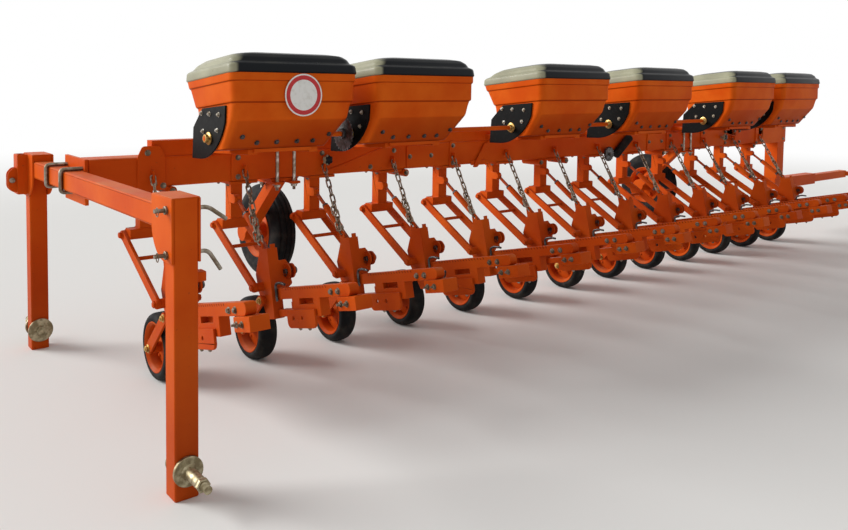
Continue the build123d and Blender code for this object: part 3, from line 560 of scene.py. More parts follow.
def slab(outline, thick, edge=0.0015):
    """A plate with eased edges: an anticlockwise outline raised from 0 to its thickness."""
    steps = ((edge, 0), (0, edge), (0, thick - edge), (edge, thick))
    return loft([[(x, y, z) for x, y in inset(outline, gap)] for gap, z in steps])


def oblong(low_x, low_y, high_x, high_y, corner=0.004):
    """A rectangle with small round corners, as an outline."""
    return rounded([(low_x, low_y), (high_x, low_y), (high_x, high_y), (low_x, high_y)], corner, 3)


print("mesh tools ready")

# %% [markdown]
# ## From mesh to piece
# Copies of a mesh are turned and moved while they are still arrays, and joined. Only then
# does one Blender object come of them: it is hung on the body it moves with, takes its
# slot's finish unless another is given, and hides the imported solids it stands in for.

# %% Placing and making pieces
def placed(mesh, spot=(0, 0, 0), turn=None):
    """A copy of a mesh turned by a 3x3 matrix and moved."""
    points, faces = mesh
    if turn is not None:
        points = points @ np.asarray(turn, float).T
    return points + np.asarray(spot, float), faces


def joined(meshes):
    """Many meshes as one."""
    points, faces, base = [], [], 0
    for part, part_faces in meshes:
        points.append(part)
        faces += [tuple(i + base for i in face) for face in part_faces]
        base += len(part)
    return np.concatenate(points), faces


def along_units(mesh):
    """A mesh made about x = 0, once at every row unit."""
    return joined([placed(mesh, (x, 0, 0)) for x in unit_xs])


def turn_z_to(direction, spin=0.0):
    """A 3x3 matrix that lays the Z axis along a direction, spun about it."""
    turn = Vector(direction).to_track_quat("Z", "Y").to_matrix() @ Matrix.Rotation(spin, 3, "Z")
    return np.array(turn)


def make_piece(name, mesh, slot, finish=None, body="root", replaces=(), crease=34):
    """An object that rides a body of the frame, in its slot's finish unless another is given."""
    points, faces = mesh
    data = bpy.data.meshes.new(name)
    data.from_pydata(points.tolist(), [], faces)
    data.validate()
    sides = bmesh.new()
    sides.from_mesh(data)
    bmesh.ops.recalc_face_normals(sides, faces=sides.faces)
    sides.to_mesh(data)
    sides.free()
    data.shade_smooth()
    data.set_sharp_from_angle(angle=math.radians(crease))
    data.materials.append(finish or FINISHES[slot])
    piece = bpy.data.objects.new(name, data)
    scene.collection.objects.link(piece)
    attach(piece, body)
    if replaces:
        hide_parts(*replaces)
    return piece


print("placing tools ready")

# %% [markdown]
# ## Bolts and threads
# A farm machine is held together by hexagon bolts, and at this distance three things make
# one: the six sides, the chamfer that turns their tops into a circle, and the washer. A
# lathe with six steps gives the hexagon for nothing. A thread is a stack of rings of two
# radii, which reads as a thread without the cost of a true spiral.

# %% Fasteners
LEFT, RIGHT, REAR, FRONT, DOWN = (-1, 0, 0), (1, 0, 0), (0, -1, 0), (0, 1, 0), (0, 0, -1)
WASHER = ((1.5, 0), (1.55, 0.06), (1.55, 0.22), (1.48, 0.28))
HEXAGON = ((1.1, 0.2), (1.15, 0.3), (1.15, 0.95), (0.96, 1.15))
VALLEY, SPIN_STEP = 0.86, 0.7


def thread(radius, low, high, pitch=0.003):
    """A threaded rod along Z."""
    count = max(3, round((high - low) / pitch) * 2)
    heights = np.linspace(low, high, count)
    return turned([(radius * (1 if k % 2 else VALLEY), z) for k, z in enumerate(heights)], 12)


def bolt(size, stud=0.0):
    """A hexagon of half width size on a washer; a stud makes it a nut with thread showing."""
    parts = [
        turned([(r * size, z * size) for r, z in rows], steps)
        for rows, steps in ((WASHER, 16), (HEXAGON, 6))
    ]
    if stud:
        parts.append(thread(0.6 * size, 1.1 * size, 1.1 * size + stud))
    return joined(parts)


def bolts(spots):
    """Bolts from rows of (spot, direction, size, stud), each spun a little differently."""
    return joined([
        placed(bolt(size, stud), spot, turn_z_to(way, SPIN_STEP * k))
        for k, (spot, way, size, stud) in enumerate(spots)
    ])


print("a bolt has", len(bolt(0.01)[1]), "faces")

# %% [markdown]
# ## Tyres
# The gauge tyres are smooth, fat little rubber rings with rounded shoulders. A lathe needs
# only half a section: the outline is a rounded bulge between the rim's edges, written as
# a superellipse so that one power sets how square the shoulders are. The support tyres
# are pneumatic and have ribs round the tread.

# %% Build the tyres
TREAD_SHARE, SHOULDER_RISE = 0.72, 2.2


def tyre_outline(inner, outer, foot, width, power, ribs=0, rib_depth=0.0, count=40):
    """Closed outline: a flat foot on the rim and a squarish bulge above it."""
    outline = []
    for k in range(count + 1):
        t = math.pi * k / count
        c, s = math.cos(t), math.sin(t)
        x = math.copysign(abs(c) ** (2 / power), c)
        lift = abs(s) ** (2 / power)
        half = foot / 2 + (width - foot) / 2 * min(1.0, SHOULDER_RISE * lift)
        radius = inner + (outer - inner) * lift
        outline.append((x * half, radius))
    if ribs:
        for k, (x, r) in enumerate(outline):
            if abs(x) < TREAD_SHARE / 2 * width:
                wave = math.cos(2 * math.pi * ribs * x / (TREAD_SHARE * width))
                outline[k] = (x, r - rib_depth * max(0.0, -wave))
    return outline


def wheel_size(rim, tyre):
    """Outer radius, width and rim radius of a wheel, read from its two nodes."""
    rim_low, rim_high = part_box(rim)
    tyre_low, tyre_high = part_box(tyre)
    return (tyre_high.z - tyre_low.z) / 2, tyre_high.x - tyre_low.x, (rim_high.z - rim_low.z) / 2


GAUGE_FOOT, SUPPORT_FOOT = 0.080, 0.116
gauge_outer, gauge_width, gauge_rim = wheel_size("gauge_rim_01", "gauge_tyre_01")
support_outer, support_width, support_rim = wheel_size("support_rim_left", "support_tyre_left")
gauge_tyre = lathe(tyre_outline(gauge_rim, gauge_outer, GAUGE_FOOT, gauge_width, 3.4), 72)
support_tyre = lathe(
    tyre_outline(support_rim, support_outer, SUPPORT_FOOT, support_width, 2.7, 4, 0.007, 90), 96
)
WHEELS = [(f"gauge_{{}}_{k:02d}", f"gauge_wheel_{k:02d}", gauge_tyre) for k in range(1, 14)]
WHEELS += [(f"support_{{}}_{side}", f"support_wheel_{side}", support_tyre) for side in ("left", "right")]
for label, body, mesh in WHEELS:
    old = label.format("tyre")
    make_piece(label.format("rubber"), placed(mesh, middle(old)), "rubber", body=body, replaces=[old])
print("tyres of", round(2 * gauge_outer, 3), "and", round(2 * support_outer, 3), "m")

# %% [markdown]
# ## Pressed rims
# A small farm rim is two pressed steel bowls: a dished disc, a flat band for the tyre, and
# a rolled lip on each side that keeps it there. One closed section turned round the axle
# gives all of it, hub and bore included. The wheel bolts are added to the same mesh, so
# that they go round with the rim.

# %% Build the rims
GAUGE_SECTION = (
    (-0.045, 0.0128), (-0.045, 0.022), (-0.043, 0.024), (-0.013, 0.024), (-0.010, 0.030), (-0.004, 0.055),
    (0.004, 0.085), (0.006, 0.094), (-0.030, 0.095), (-0.036, 0.098), (-0.040, 0.104), (-0.045, 0.109),
    (-0.045, 0.112), (-0.042, 0.113), (-0.039, 0.110), (-0.035, 0.1062), (0.035, 0.1062), (0.039, 0.110),
    (0.042, 0.113), (0.045, 0.112), (0.045, 0.109), (0.040, 0.104), (0.036, 0.098), (0.030, 0.095),
    (0.014, 0.094), (0.012, 0.085), (0.004, 0.055), (-0.002, 0.030), (0.003, 0.024), (0.043, 0.024),
    (0.045, 0.022), (0.045, 0.0128),
)
SUPPORT_SECTION = (
    (-0.060, 0.0206), (-0.060, 0.044), (-0.056, 0.048), (-0.020, 0.048), (-0.012, 0.060), (0.004, 0.095),
    (0.010, 0.118), (-0.044, 0.120), (-0.052, 0.126), (-0.058, 0.136), (-0.064, 0.142), (-0.063, 0.147),
    (-0.058, 0.147), (-0.050, 0.1362), (0.050, 0.1362), (0.058, 0.147), (0.063, 0.147), (0.064, 0.142),
    (0.058, 0.136), (0.052, 0.126), (0.044, 0.120), (0.021, 0.119), (0.016, 0.095), (0.000, 0.060),
    (-0.006, 0.050), (0.010, 0.048), (0.056, 0.048), (0.060, 0.044), (0.060, 0.0206),
)


def bolt_circle(count, radius, x, way, size):
    """Bolts in a circle round the X axis."""
    turns = circle(count, 0.5 * math.pi / count)
    return bolts([((x, radius * c, radius * s), way, size, 0) for c, s in turns])


def bolted_rim(section, steps, count, radius, right, left, size):
    """A turned rim with a circle of bolt heads on its right and on its left face."""
    heads = [bolt_circle(count, radius, x, way, size) for x, way in ((right, RIGHT), (left, LEFT))]
    return joined([lathe(section, steps), *heads])


gauge_wheel_rim = bolted_rim(
    GAUGE_SECTION, steps=64, count=5, radius=0.062, right=0.008, left=-0.001, size=0.0065
)
support_wheel_rim = bolted_rim(
    SUPPORT_SECTION, steps=80, count=6, radius=0.080, right=0.011, left=-0.002, size=0.011
)
for label, body, _ in WHEELS:
    old = label.format("rim")
    mesh = gauge_wheel_rim if "gauge" in label else support_wheel_rim
    make_piece(
        label.format("pressed_rim"), placed(mesh, middle(old)), "orange_paint", body=body, replaces=[old]
    )
print(len(WHEELS), "rims")

# %% [markdown]
# ## Hopper shells
# Each hopper is a moulded tub: a narrow foot, walls that spread in two steps, a ledge and
# a thick rim. In Blender such a form could be a subdivided box, but rows of reaches are
# easier to measure: left, right, rear, front, height and corner round. Sweeping the rows
# themselves into curves rounds every crease at once, and the same list run down the inside
# makes the tub hollow. The tubs lean forward by six degrees.

# %% Build the hoppers
HOPPER_TILT = -6.0
HOPPER_TURN = turn_x(HOPPER_TILT)
HOPPERS = range(1, 7)
CORNER_STEPS = 6
CREASE_ROUND, MOULDED_CREASE = 0.014, 50
FOOT_FRONT, RIM_REAR, RIM_HEIGHT = 0.080, 0.226, 0.313
TUB_ROWS = (
    (0.284, 0.209, 0.118, 0.073, 0.000, 0.028), (0.291, 0.216, 0.126, 0.080, 0.004, 0.034),
    (0.291, 0.283, 0.220, 0.138, 0.123, 0.036), (0.291, 0.289, 0.243, 0.144, 0.190, 0.036),
    (0.298, 0.298, 0.254, 0.153, 0.195, 0.038), (0.301, 0.301, 0.261, 0.193, 0.278, 0.040),
    (0.307, 0.307, 0.268, 0.200, 0.283, 0.042), (0.308, 0.308, 0.270, 0.210, 0.3128, 0.042),
)
TUB_INSIDE = (
    (0.298, 0.298, 0.260, 0.200, 0.3128, 0.036), (0.291, 0.291, 0.247, 0.146, 0.197, 0.032),
    (0.285, 0.277, 0.214, 0.132, 0.123, 0.030), (0.285, 0.210, 0.120, 0.074, 0.007, 0.028),
)


def row_ring(left, right, rear, front, height, corner):
    """A rectangle with round corners, as a ring of points at a height."""
    points = []
    for x, y, start in (
        (right - corner, front - corner, 0), (corner - left, front - corner, 90),
        (corner - left, corner - rear, 180), (right - corner, corner - rear, 270),
    ):
        for step in range(CORNER_STEPS + 1):
            turn = math.radians(start + 90 * step / CORNER_STEPS)
            points.append((x + corner * math.cos(turn), y + corner * math.sin(turn), height))
    return points


def hopper_origin(k):
    """The middle of a hopper's foot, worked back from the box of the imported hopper."""
    low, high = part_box(f"hopper_{k}")
    lean = math.radians(-HOPPER_TILT)
    y = low.y + RIM_REAR * math.cos(lean) - RIM_HEIGHT * math.sin(lean)
    return np.array(((low.x + high.x) / 2, y, low.z + FOOT_FRONT * math.sin(lean)))


def on_hopper(k, x, forward, up):
    return hopper_origin(k) + HOPPER_TURN @ np.array((x, forward, up))


tub_rows = [
    *rounded(TUB_ROWS, CREASE_ROUND, 3, closed=False), *rounded(TUB_INSIDE, CREASE_ROUND, 2, closed=False),
]
tub = loft([row_ring(*row) for row in tub_rows])
for k in HOPPERS:
    make_piece(
        f"hopper_tub_{k}", placed(tub, hopper_origin(k), HOPPER_TURN), "orange_plastic",
        replaces=[f"hopper_{k}"], crease=MOULDED_CREASE,
    )
print("hopper foot at", [round(v, 3) for v in hopper_origin(1)])

# %% [markdown]
# ## Lids
# The black lids have an upright skirt with a soft lower lip, a narrow ledge, and a crown
# that rises gently and falls away to the front like a hipped roof. They are made as the
# tubs are, from rows of insets, and they ride the hinged lid bodies. Two strap hinges at
# the front carry each lid: the barrel and one leaf go with the lid, the other leaf stays.

# %% Build the lids
LID_REACH = (0.312, 0.275, 0.216)
LID_LOW = 0.3133
LID_ROUND = 0.010
LID_ROWS = (
    (0.004, 0.004, 0.004, 0.000, 0.040), (0.000, 0.000, 0.000, 0.005, 0.042),
    (0.002, 0.002, 0.003, 0.036, 0.044), (0.010, 0.009, 0.014, 0.043, 0.046),
    (0.018, 0.016, 0.028, 0.047, 0.050), (0.026, 0.021, 0.060, 0.066, 0.056),
    (0.044, 0.032, 0.105, 0.082, 0.066), (0.085, 0.060, 0.160, 0.0905, 0.070),
    (0.160, 0.115, 0.200, 0.0925, 0.050),
)
LID_INSIDE = (
    (0.165, 0.120, 0.196, 0.084, 0.046), (0.060, 0.045, 0.130, 0.072, 0.050),
    (0.026, 0.024, 0.036, 0.040, 0.040), (0.010, 0.010, 0.010, 0.030, 0.036),
    (0.009, 0.009, 0.009, 0.000, 0.036),
)
HINGE_XS, HINGE_HALF = (-0.19, 0.19), 0.034
LID_LEAF_TURN = HOPPER_TURN @ turn_x(86) @ np.diag((1, 1, -1))
TUB_LEAF_TURN = HOPPER_TURN @ turn_x(-76)


def lid_ring(side, rear, front, height, corner):
    sides, back, nose = LID_REACH
    return row_ring(sides - side, sides - side, back - rear, nose - front, LID_LOW + height, corner)


lid_rows = [*LID_INSIDE, *rounded(LID_ROWS, LID_ROUND, 3, closed=False)]
lid = loft([lid_ring(*row) for row in lid_rows])
half_barrel = [(0.0055, 0.011), (0.007, 0.012), (0.007, HINGE_HALF - 0.002), (0.006, HINGE_HALF)]
barrel = turned([(r, -z) for r, z in reversed(half_barrel)] + half_barrel, 14)
leaf = slab(oblong(-HINGE_HALF, 0, HINGE_HALF, 0.040, 0.006), 0.003, 0.0008)
for k in HOPPERS:
    make_piece(
        f"lid_cover_{k}", placed(lid, hopper_origin(k), HOPPER_TURN), "black_plastic",
        body=f"lid_{k}", replaces=[f"hopper_lid_{k}"], crease=MOULDED_CREASE,
    )
    upper, lower = [], []
    for x in HINGE_XS:
        axis = on_hopper(k, x, LID_REACH[2], LID_LOW)
        upper.append(placed(barrel, axis, turn_z_to(RIGHT)))
        upper.append(placed(leaf, axis + (0, 0.001, 0.003), LID_LEAF_TURN))
        lower.append(placed(leaf, axis + (0, -0.006, -0.003), TUB_LEAF_TURN))
    make_piece(f"lid_hinge_{k}", joined(upper), "black_paint", dark_steel, f"lid_{k}")
    make_piece(f"hopper_hinge_{k}", joined(lower), "black_paint", dark_steel)
print("lids of", round(2 * LID_REACH[0], 3), "m")

# %% [markdown]
# ## Hopper fittings
# A row of bolts holds the metering floor under each tub, the black end plates are bolted
# to its side, and the metering shaft runs through them in a flanged hub. Under the rear
# edge a flat bar carries the tub on its rail, and a toothed sprocket drives the shaft at
# the second hopper. Places are given in the hopper's own leaning axes, so that every bolt
# stands square on its wall.

# %% Dress the hoppers
FLOOR_BOLTS = (
    (-0.225, 0.052), (-0.150, 0.026), (-0.055, 0.026), (0.045, 0.026), (0.125, 0.026), (0.200, 0.052),
)
PLATE_BOLTS = ((0.064, 0.168), (-0.018, 0.159), (-0.108, 0.150), (0.054, 0.089), (-0.087, 0.085))
PLATE_FACE = -0.2993
SHAFT_SPOT = (-0.004, 0.055)
FOOT_REAR, BEND_REAR, BEND_HEIGHT = 0.126, 0.220, 0.123
SPROCKET_HOPPER, SPROCKET_OUT, SPROCKET_TEETH = 2, 0.040, 26
TOOTH = ((-0.006, 0), (0.006, 0), (0.002, 0.009), (-0.002, 0.009))
HUB_PROFILE = (
    (0.027, 0), (0.028, 0.001), (0.028, 0.005), (0.020, 0.007), (0.018, 0.009), (0.018, 0.021),
    (0.016, 0.023),
)


def disc_teeth(count, radius):
    """Small pointed teeth round a disc that lies in the XY plane."""
    tooth = slab(TOOTH, 0.004, 0.0006)
    made = []
    for k in range(count):
        turn = np.array(Matrix.Rotation(2 * math.pi * k / count, 3, "Z"))
        made.append(placed(tooth, turn @ np.array((0, radius - 0.001, 0.0005)), turn))
    return joined(made)


wall_way = HOPPER_TURN @ np.array((0, -BEND_HEIGHT, FOOT_REAR - BEND_REAR))
plate_bolts, end_bolts, hubs, carriers = [], [], [], []
hub = joined([
    turned(HUB_PROFILE, 24),
    placed(bolt(0.006), (0.017, 0, 0.015), turn_z_to(RIGHT)),
])
sprocket = joined([
    turned([(0.076, 0), (0.078, 0.001), (0.078, 0.004), (0.076, 0.005)], 48),
    turned([(0.024, -0.014), (0.026, -0.012), (0.026, 0.016), (0.024, 0.018)], 24),
    disc_teeth(SPROCKET_TEETH, 0.077),
])
carrier = slab(oblong(-0.15, -0.016, 0.13, 0.0), 0.012)
for k in HOPPERS:
    for x, up in FLOOR_BOLTS:
        rear = FOOT_REAR + (BEND_REAR - FOOT_REAR) * up / BEND_HEIGHT
        plate_bolts.append((on_hopper(k, x, -rear, up), wall_way, 0.0075, 0))
    for forward, up in PLATE_BOLTS:
        end_bolts.append((on_hopper(k, PLATE_FACE, forward, up), LEFT, 0.007, 0.003))
    hubs.append(placed(hub, on_hopper(k, PLATE_FACE, *SHAFT_SPOT), turn_z_to(LEFT)))
    foot = on_hopper(k, 0.0, -FOOT_REAR, 0.0)
    carriers.append(placed(carrier, foot + (0, 0.016, -0.001), turn_x(90)))
make_piece("hopper_bolts", bolts(plate_bolts), "zinc_steel", dark_steel)
make_piece("end_plate_bolts", bolts(end_bolts), "zinc_steel")
sprocket_spot = on_hopper(SPROCKET_HOPPER, PLATE_FACE - SPROCKET_OUT, *SHAFT_SPOT)
drive_disc = placed(sprocket, sprocket_spot, turn_z_to(LEFT))
make_piece("drive_sprocket", drive_disc, "zinc_steel", dark_steel)
make_piece("shaft_hubs", joined(hubs), "zinc_steel", yellow_zinc)
make_piece("hopper_carriers", joined(carriers), "orange_paint")
print(len(plate_bolts), "hopper bolts")

# %% [markdown]
# ## Round plate
# A round plate hangs on the rear of the first hopper: white with a red ring, left blank.
# A thin turned disc and a turned ring a fraction of a millimetre proud of it give clean
# edges without any picture.

# %% Hang the plate
PLATE_SPOT = (0.022, -0.2615, 0.2195)
PLATE_RADIUS, RING_OUT, RING_IN = 0.091, 0.085, 0.066
RING_LOW, RING_HIGH, RING_EASE = 0.0020, 0.0027, 0.0005
white_enamel = enamel("white_enamel", rgb(236, 236, 232), rgb(214, 212, 204))
red_enamel = enamel("red_enamel", rgb(196, 22, 28), rgb(170, 26, 28))
wall = on_hopper(1, *PLATE_SPOT)
disc = turned([
    (PLATE_RADIUS - 0.001, 0), (PLATE_RADIUS, 0.0006), (PLATE_RADIUS, 0.0018), (PLATE_RADIUS - 0.001, 0.0022),
], 64)
ring = lathe([
    (RING_LOW, RING_IN), (RING_HIGH, RING_IN + RING_EASE),
    (RING_HIGH, RING_OUT - RING_EASE), (RING_LOW, RING_OUT),
], 64)
to_rear = np.array(Matrix.Rotation(math.radians(-90), 3, "Z"))
make_piece("round_plate", placed(disc, wall, turn_z_to(REAR)), "black_paint", white_enamel)
make_piece("round_plate_ring", placed(ring, wall, to_rear), "black_paint", red_enamel)
print("plate at", [round(float(v), 3) for v in wall])

# %% [markdown]
# ## Lift chains
# Each unit hangs from the toolbar on a welded steel chain, so that it can be locked up for
# the road. Neighbouring links stand at right angles and bear on each other's ends. The
# packed links are plain rectangles: their boxes give the place of each link, and a round
# wire bent to a stadium takes its form. The spare end of the chain is hooked back up
# beside it.

# %% Build the chains
LINK_WIRE = 0.0042
LINK_HALF_WIDTH = 0.0105
STADIUM_STEPS = 8
SPARE_LINKS, SPARE_SPIN = 4, 0.5
SPARE_ASIDE = np.array((-0.018, -0.012, 0.0))
UNIT_REACH = 0.1


def stadium(half_length, half_width):
    """A closed path of two half circles and two straights, along Z, in the XZ plane."""
    arc = np.linspace(0, math.pi, STADIUM_STEPS)
    reach = half_length - half_width
    top = [(half_width * math.cos(t), 0, reach + half_width * math.sin(t)) for t in arc]
    return np.array(top + [(-x, 0, -z) for x, _, z in top])


link_boxes = solids_of("lift_chains")
links_each = len(link_boxes) // len(unit_xs)
chain_meshes = []
for unit_x in unit_xs:
    row = [box for box in link_boxes if abs((box[0][0] + box[1][0]) / 2 - unit_x) < UNIT_REACH]
    row.sort(key=lambda box: -box[0][2])
    centres = [(low + high) / 2 for low, high in row]
    run = centres[-1] - centres[0]
    pitch = np.linalg.norm(run) / (links_each - 1)
    link = tube(stadium(pitch / 2 + LINK_WIRE, LINK_HALF_WIDTH), LINK_WIRE, 8, closed=True)
    for k, centre in enumerate(centres):
        chain_meshes.append(placed(link, centre, turn_z_to(run, math.pi / 2 * (k % 2))))
    for k in range(SPARE_LINKS):
        centre = centres[-1] - run * (k + 0.5) / (links_each - 1) + SPARE_ASIDE
        chain_meshes.append(placed(link, centre, turn_z_to(run, math.pi / 2 * (k % 2) + SPARE_SPIN)))
make_piece("chain_links", joined(chain_meshes), "zinc_steel", chain_steel, replaces=["lift_chains"])
print(len(chain_meshes), "chain links")

# %% [markdown]
# ## Unit hardware
# The thirteen units are alike, so one set of small parts is made about x = 0 and copied
# along the bar. Nuts close the four link pivots, bolts hold the tool holder and the clamp
# on the beam, and a pin with a ring goes through the clevis. On the gang the places are
# given along the beam, and one matrix turns them all to its pitch.

# %% Bolt the units together
BEAM_FACE, CLAMP_FACE, ARM_FACE, HUB_FACE = -0.023, -0.040, -0.0695, 0.0452
BEAM_BACK = (0.556, 0.610)
GAUGE_ARM_TOP = (0.008, -0.062)
FLANGE_UNDER, FLANGE_XS, FLANGE_YS = 0.014, (-0.058, 0.058), (-0.088, 0.018)
_, wheel_y, wheel_z = middle("gauge_rim_01")
gang_down = GANG_TURN @ np.array(DOWN)
GANG_BOLTS = (
    (BEAM_FACE, BEAM_BACK, -0.043, LEFT, 0.009, 0.002), (-BEAM_FACE, BEAM_BACK, -0.043, RIGHT, 0.009, 0),
    (-0.0293, (0.285, 0.365), -0.191, gang_down, 0.006, 0.002),
    (CLAMP_FACE, (0.645, 0.690), -0.093, LEFT, 0.0085, 0.010),
)

pivot_bolts = [((side * link_face, *pivot), (side, 0, 0), 0.013, 0)
               for side in (-1, 1) for pivot in (front_pivot, rear_pivot)]
make_piece("pivot_bolts", along_units(bolts(pivot_bolts)), "orange_paint")
unit_bolts = [(on_gang(x, back, up), way, size, stud)
              for x, backs, up, way, size, stud in GANG_BOLTS for back in backs]
unit_bolts += [((x, front_pivot[0] + y, bar_bottom - FLANGE_UNDER), DOWN, 0.0085, 0.004)
               for x in FLANGE_XS for y in FLANGE_YS]
make_piece("unit_bolts", along_units(bolts(unit_bolts)), "zinc_steel", worn_zinc)

axle_nuts = [
    ((ARM_FACE, wheel_y, wheel_z), LEFT, 0.012, 0.004), ((HUB_FACE, wheel_y, wheel_z), RIGHT, 0.012, 0.004),
    (on_gang(ARM_FACE, *GAUGE_ARM_TOP), LEFT, 0.011, 0.004),
]
make_piece("axle_nuts", along_units(bolts(axle_nuts)), "zinc_steel", yellow_zinc)
print(len(pivot_bolts) + len(unit_bolts) + len(axle_nuts), "bolts on each unit")

# %% [markdown]
# ## Pins, hooks and threads
# A hook of bent rod stands up beside each beam and lies back along its top; it locks the
# unit for the road. The clevis pin has a head and a ring. The upper link is a turnbuckle,
# so its two rods are threaded and locked with nuts. A rod is easiest as a path: a few
# points, their corners swept round, and a circle carried along.

# %% Rods of each unit
HOOK_ROD, CLEVIS_ROD, TURNBUCKLE_ROD = 0.006, 0.0112, 0.0096
CLEVIS_SPOT = (0.102, 0.055)
LINK_X = -0.0117
BODY_HALF, EYE_REACH = 0.080, 0.024
HOOK_X, HOOK_SPOTS = -0.031, ((0.104, -0.072), (0.104, 0.006), (0.150, 0.010), (0.190, 0.000))
RING_X, RING_RADIUS, RING_DROP, RING_WIRE = 0.027, 0.013, 0.010, 0.0018

hook = rounded([on_gang(HOOK_X, *spot) for spot in HOOK_SPOTS], 0.022, 5, closed=False)
clevis = joined([
    turned([(0.016, 0.074), (0.017, 0.075), (0.017, 0.080), (0.014, 0.083)], 18),
    turned([(CLEVIS_ROD, 0.022), (CLEVIS_ROD, 0.076)], 18),
])
ring_path = [(RING_X, RING_RADIUS * c, RING_RADIUS * s - RING_DROP) for c, s in circle(17)]
clevis_spot = on_gang(0, *CLEVIS_SPOT)
make_piece("lock_hooks", along_units(tube(hook, HOOK_ROD, 10)), "zinc_steel", dark_steel)
unit_rods = joined([
    placed(clevis, clevis_spot, turn_z_to(RIGHT)),
    placed(tube(ring_path, RING_WIRE, 6, closed=True), clevis_spot),
])
make_piece("clevis_pins", along_units(unit_rods), "zinc_steel", dark_steel)

top_low, top_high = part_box("upper_links")
link_front = np.array((LINK_X, top_high.y - LINK_HALF, top_high.z - LINK_HALF))
link_rear = np.array((LINK_X, top_low.y + LINK_HALF, top_low.z + LINK_HALF))
link_run = link_front - link_rear
half_run = np.linalg.norm(link_run) / 2
lock_nut = turned([(0.0155, 0), (0.017, 0.001), (0.017, 0.010), (0.0155, 0.011)], 6)
turnbuckle = joined([
    thread(TURNBUCKLE_ROD, BODY_HALF, half_run - EYE_REACH),
    thread(TURNBUCKLE_ROD, EYE_REACH - half_run, -BODY_HALF),
    placed(lock_nut, (0, 0, BODY_HALF + 0.001)),
    placed(lock_nut, (0, 0, -BODY_HALF - 0.012)),
])
turnbuckle = placed(turnbuckle, (link_front + link_rear) / 2, turn_z_to(link_run))
link_pins = bolts([(end + (-0.0105, 0, 0), LEFT, 0.011, 0) for end in (link_front, link_rear)])
make_piece("turnbuckles", along_units(joined([turnbuckle, link_pins])), "zinc_steel", dark_steel)
print("hooks, clevis pins and turnbuckles on", len(unit_xs), "units")

# %% [markdown]
# ## Weld beads and beam scale
# Where posts meet plates there is a rippled bead of weld. A tube whose radius goes up and
# down gives the ripples. On the beam's edge a row of fine notches serves as a depth scale;
# the shade inside them is painted as thin dark strips a few tenths of a millimetre proud.

# %% Welds and painted notch shade
POST_HALF, POST_Y, POST_FOOT = 0.031, 0.040, 0.648
BEAD, RIPPLE, RIPPLE_LENGTH = 0.004, 0.82, 0.0035
SEAM_X = 0.0225
NOTCH_BACKS = np.arange(0.180, 0.520, 0.021)


def bead(start, end):
    """A rippled run of weld between two points."""
    count = max(5, round(np.linalg.norm(np.subtract(end, start)) / RIPPLE_LENGTH))
    path = np.linspace(start, end, count)
    return tube(path, [BEAD * (1.0 if k % 2 else RIPPLE) for k in range(count)], 8)


def post_beads(z):
    """Beads round a unit's square post at a height."""
    ways = ((-1, -1), (1, -1), (1, 1), (-1, 1))
    corners = [(x * POST_HALF, bar_y + POST_Y + y * POST_HALF, z) for x, y in ways]
    return [bead(corners[k], corners[(k + 1) % 4]) for k in range(4)]


beads = post_beads(bar_bottom - FLANGE_UNDER) + post_beads(POST_FOOT)
beads += [bead(on_gang(x, 0.0885, -0.018), on_gang(x, 0.0885, -0.064)) for x in (-SEAM_X, SEAM_X)]
beads += [bead(on_gang(-SEAM_X, 0.2235, -0.078), on_gang(-SEAM_X, 0.2235, -0.108))]
make_piece("unit_welds", along_units(joined(beads)), "orange_paint", crease=80)

# Painted shade: no notch is cut; a thin black strip stands in for the shade inside each one.
notch_shade = slab([(-0.004, -0.005), (-0.001, -0.005), (0.004, 0.005), (0.001, 0.005)], 0.0007, 0.0001)
to_left = np.array(((0, 0, -1), (1, 0, 0), (0, 1, 0)))
notch_shades = [placed(notch_shade, on_gang(BEAM_FACE + 0.0002, back, -0.0215), GANG_TURN @ to_left) for back in NOTCH_BACKS]
make_piece("beam_notch_shades", along_units(joined(notch_shades)), "black_paint")
print(len(beads), "beads and", len(notch_shades), "marks on each unit")

# %% [markdown]
# ## Plates on the toolbar
# The rear face of the bar carries bolted joint plates, a curved gusset on each side of the
# middle, a bracket with a strap, and short pipe ends under its lower edge. They are flat
# work: an outline in X and Z, raised by the sheet's thickness and stood up against the
# bar. The right half repeats the first four of the left one, and two plates are its own.

# %% Build the plates
REAR_TURN = turn_x(90)
SHEET = 0.008
PLATES = (
    [(-2.771, 0.832), (-2.644, 0.832), (-2.644, 0.985), (-2.668, 1.034), (-2.748, 1.034), (-2.771, 0.985)],
    [(-2.319, 0.849), (-1.774, 0.849), (-1.774, 0.981), (-2.319, 0.981)],
    [(-1.774, 0.849), (-1.297, 0.849), (-1.297, 0.981), (-1.410, 0.977), (-1.560, 0.934), (-1.661, 0.901),
     (-1.774, 0.872)],
    [(-1.247, 0.853), (-1.046, 0.853), (-1.046, 0.977), (-1.247, 0.977)],
    [(-0.923, 0.838), (-0.875, 0.838), (-0.875, 0.990), (-0.923, 0.990)],
)
BRACKET = [(-0.751, 0.838), (-0.617, 0.838), (-0.617, 0.866), (-0.751, 0.866)]
STRAP = [(-0.740, 0.826), (-0.700, 0.826), (-0.598, 0.972), (-0.642, 0.972)]
RIGHT_ONLY = (
    [(2.109, 0.838), (2.398, 0.838), (2.398, 0.990), (2.109, 0.990)],
    [(2.693, 0.838), (3.185, 0.838), (3.185, 1.003), (2.693, 1.003)],
)
PAIRED_BOLTS = (
    (-2.725, 1.004), (-2.655, 0.852), (-2.285, 0.868), (-2.285, 0.962), (-1.810, 0.962),
    (-1.340, 0.868), (-1.340, 0.955), (-1.500, 0.872), (-1.225, 0.915), (-1.068, 0.915),
)
SINGLE_BOLTS = (
    (-0.899, 0.862), (-0.899, 0.966), (2.14, 0.87), (2.14, 0.96), (2.365, 0.87), (2.365, 0.96),
    (2.73, 0.87), (2.73, 0.97), (3.14, 0.87), (3.14, 0.97),
)
BAR_BOLT = 0.009
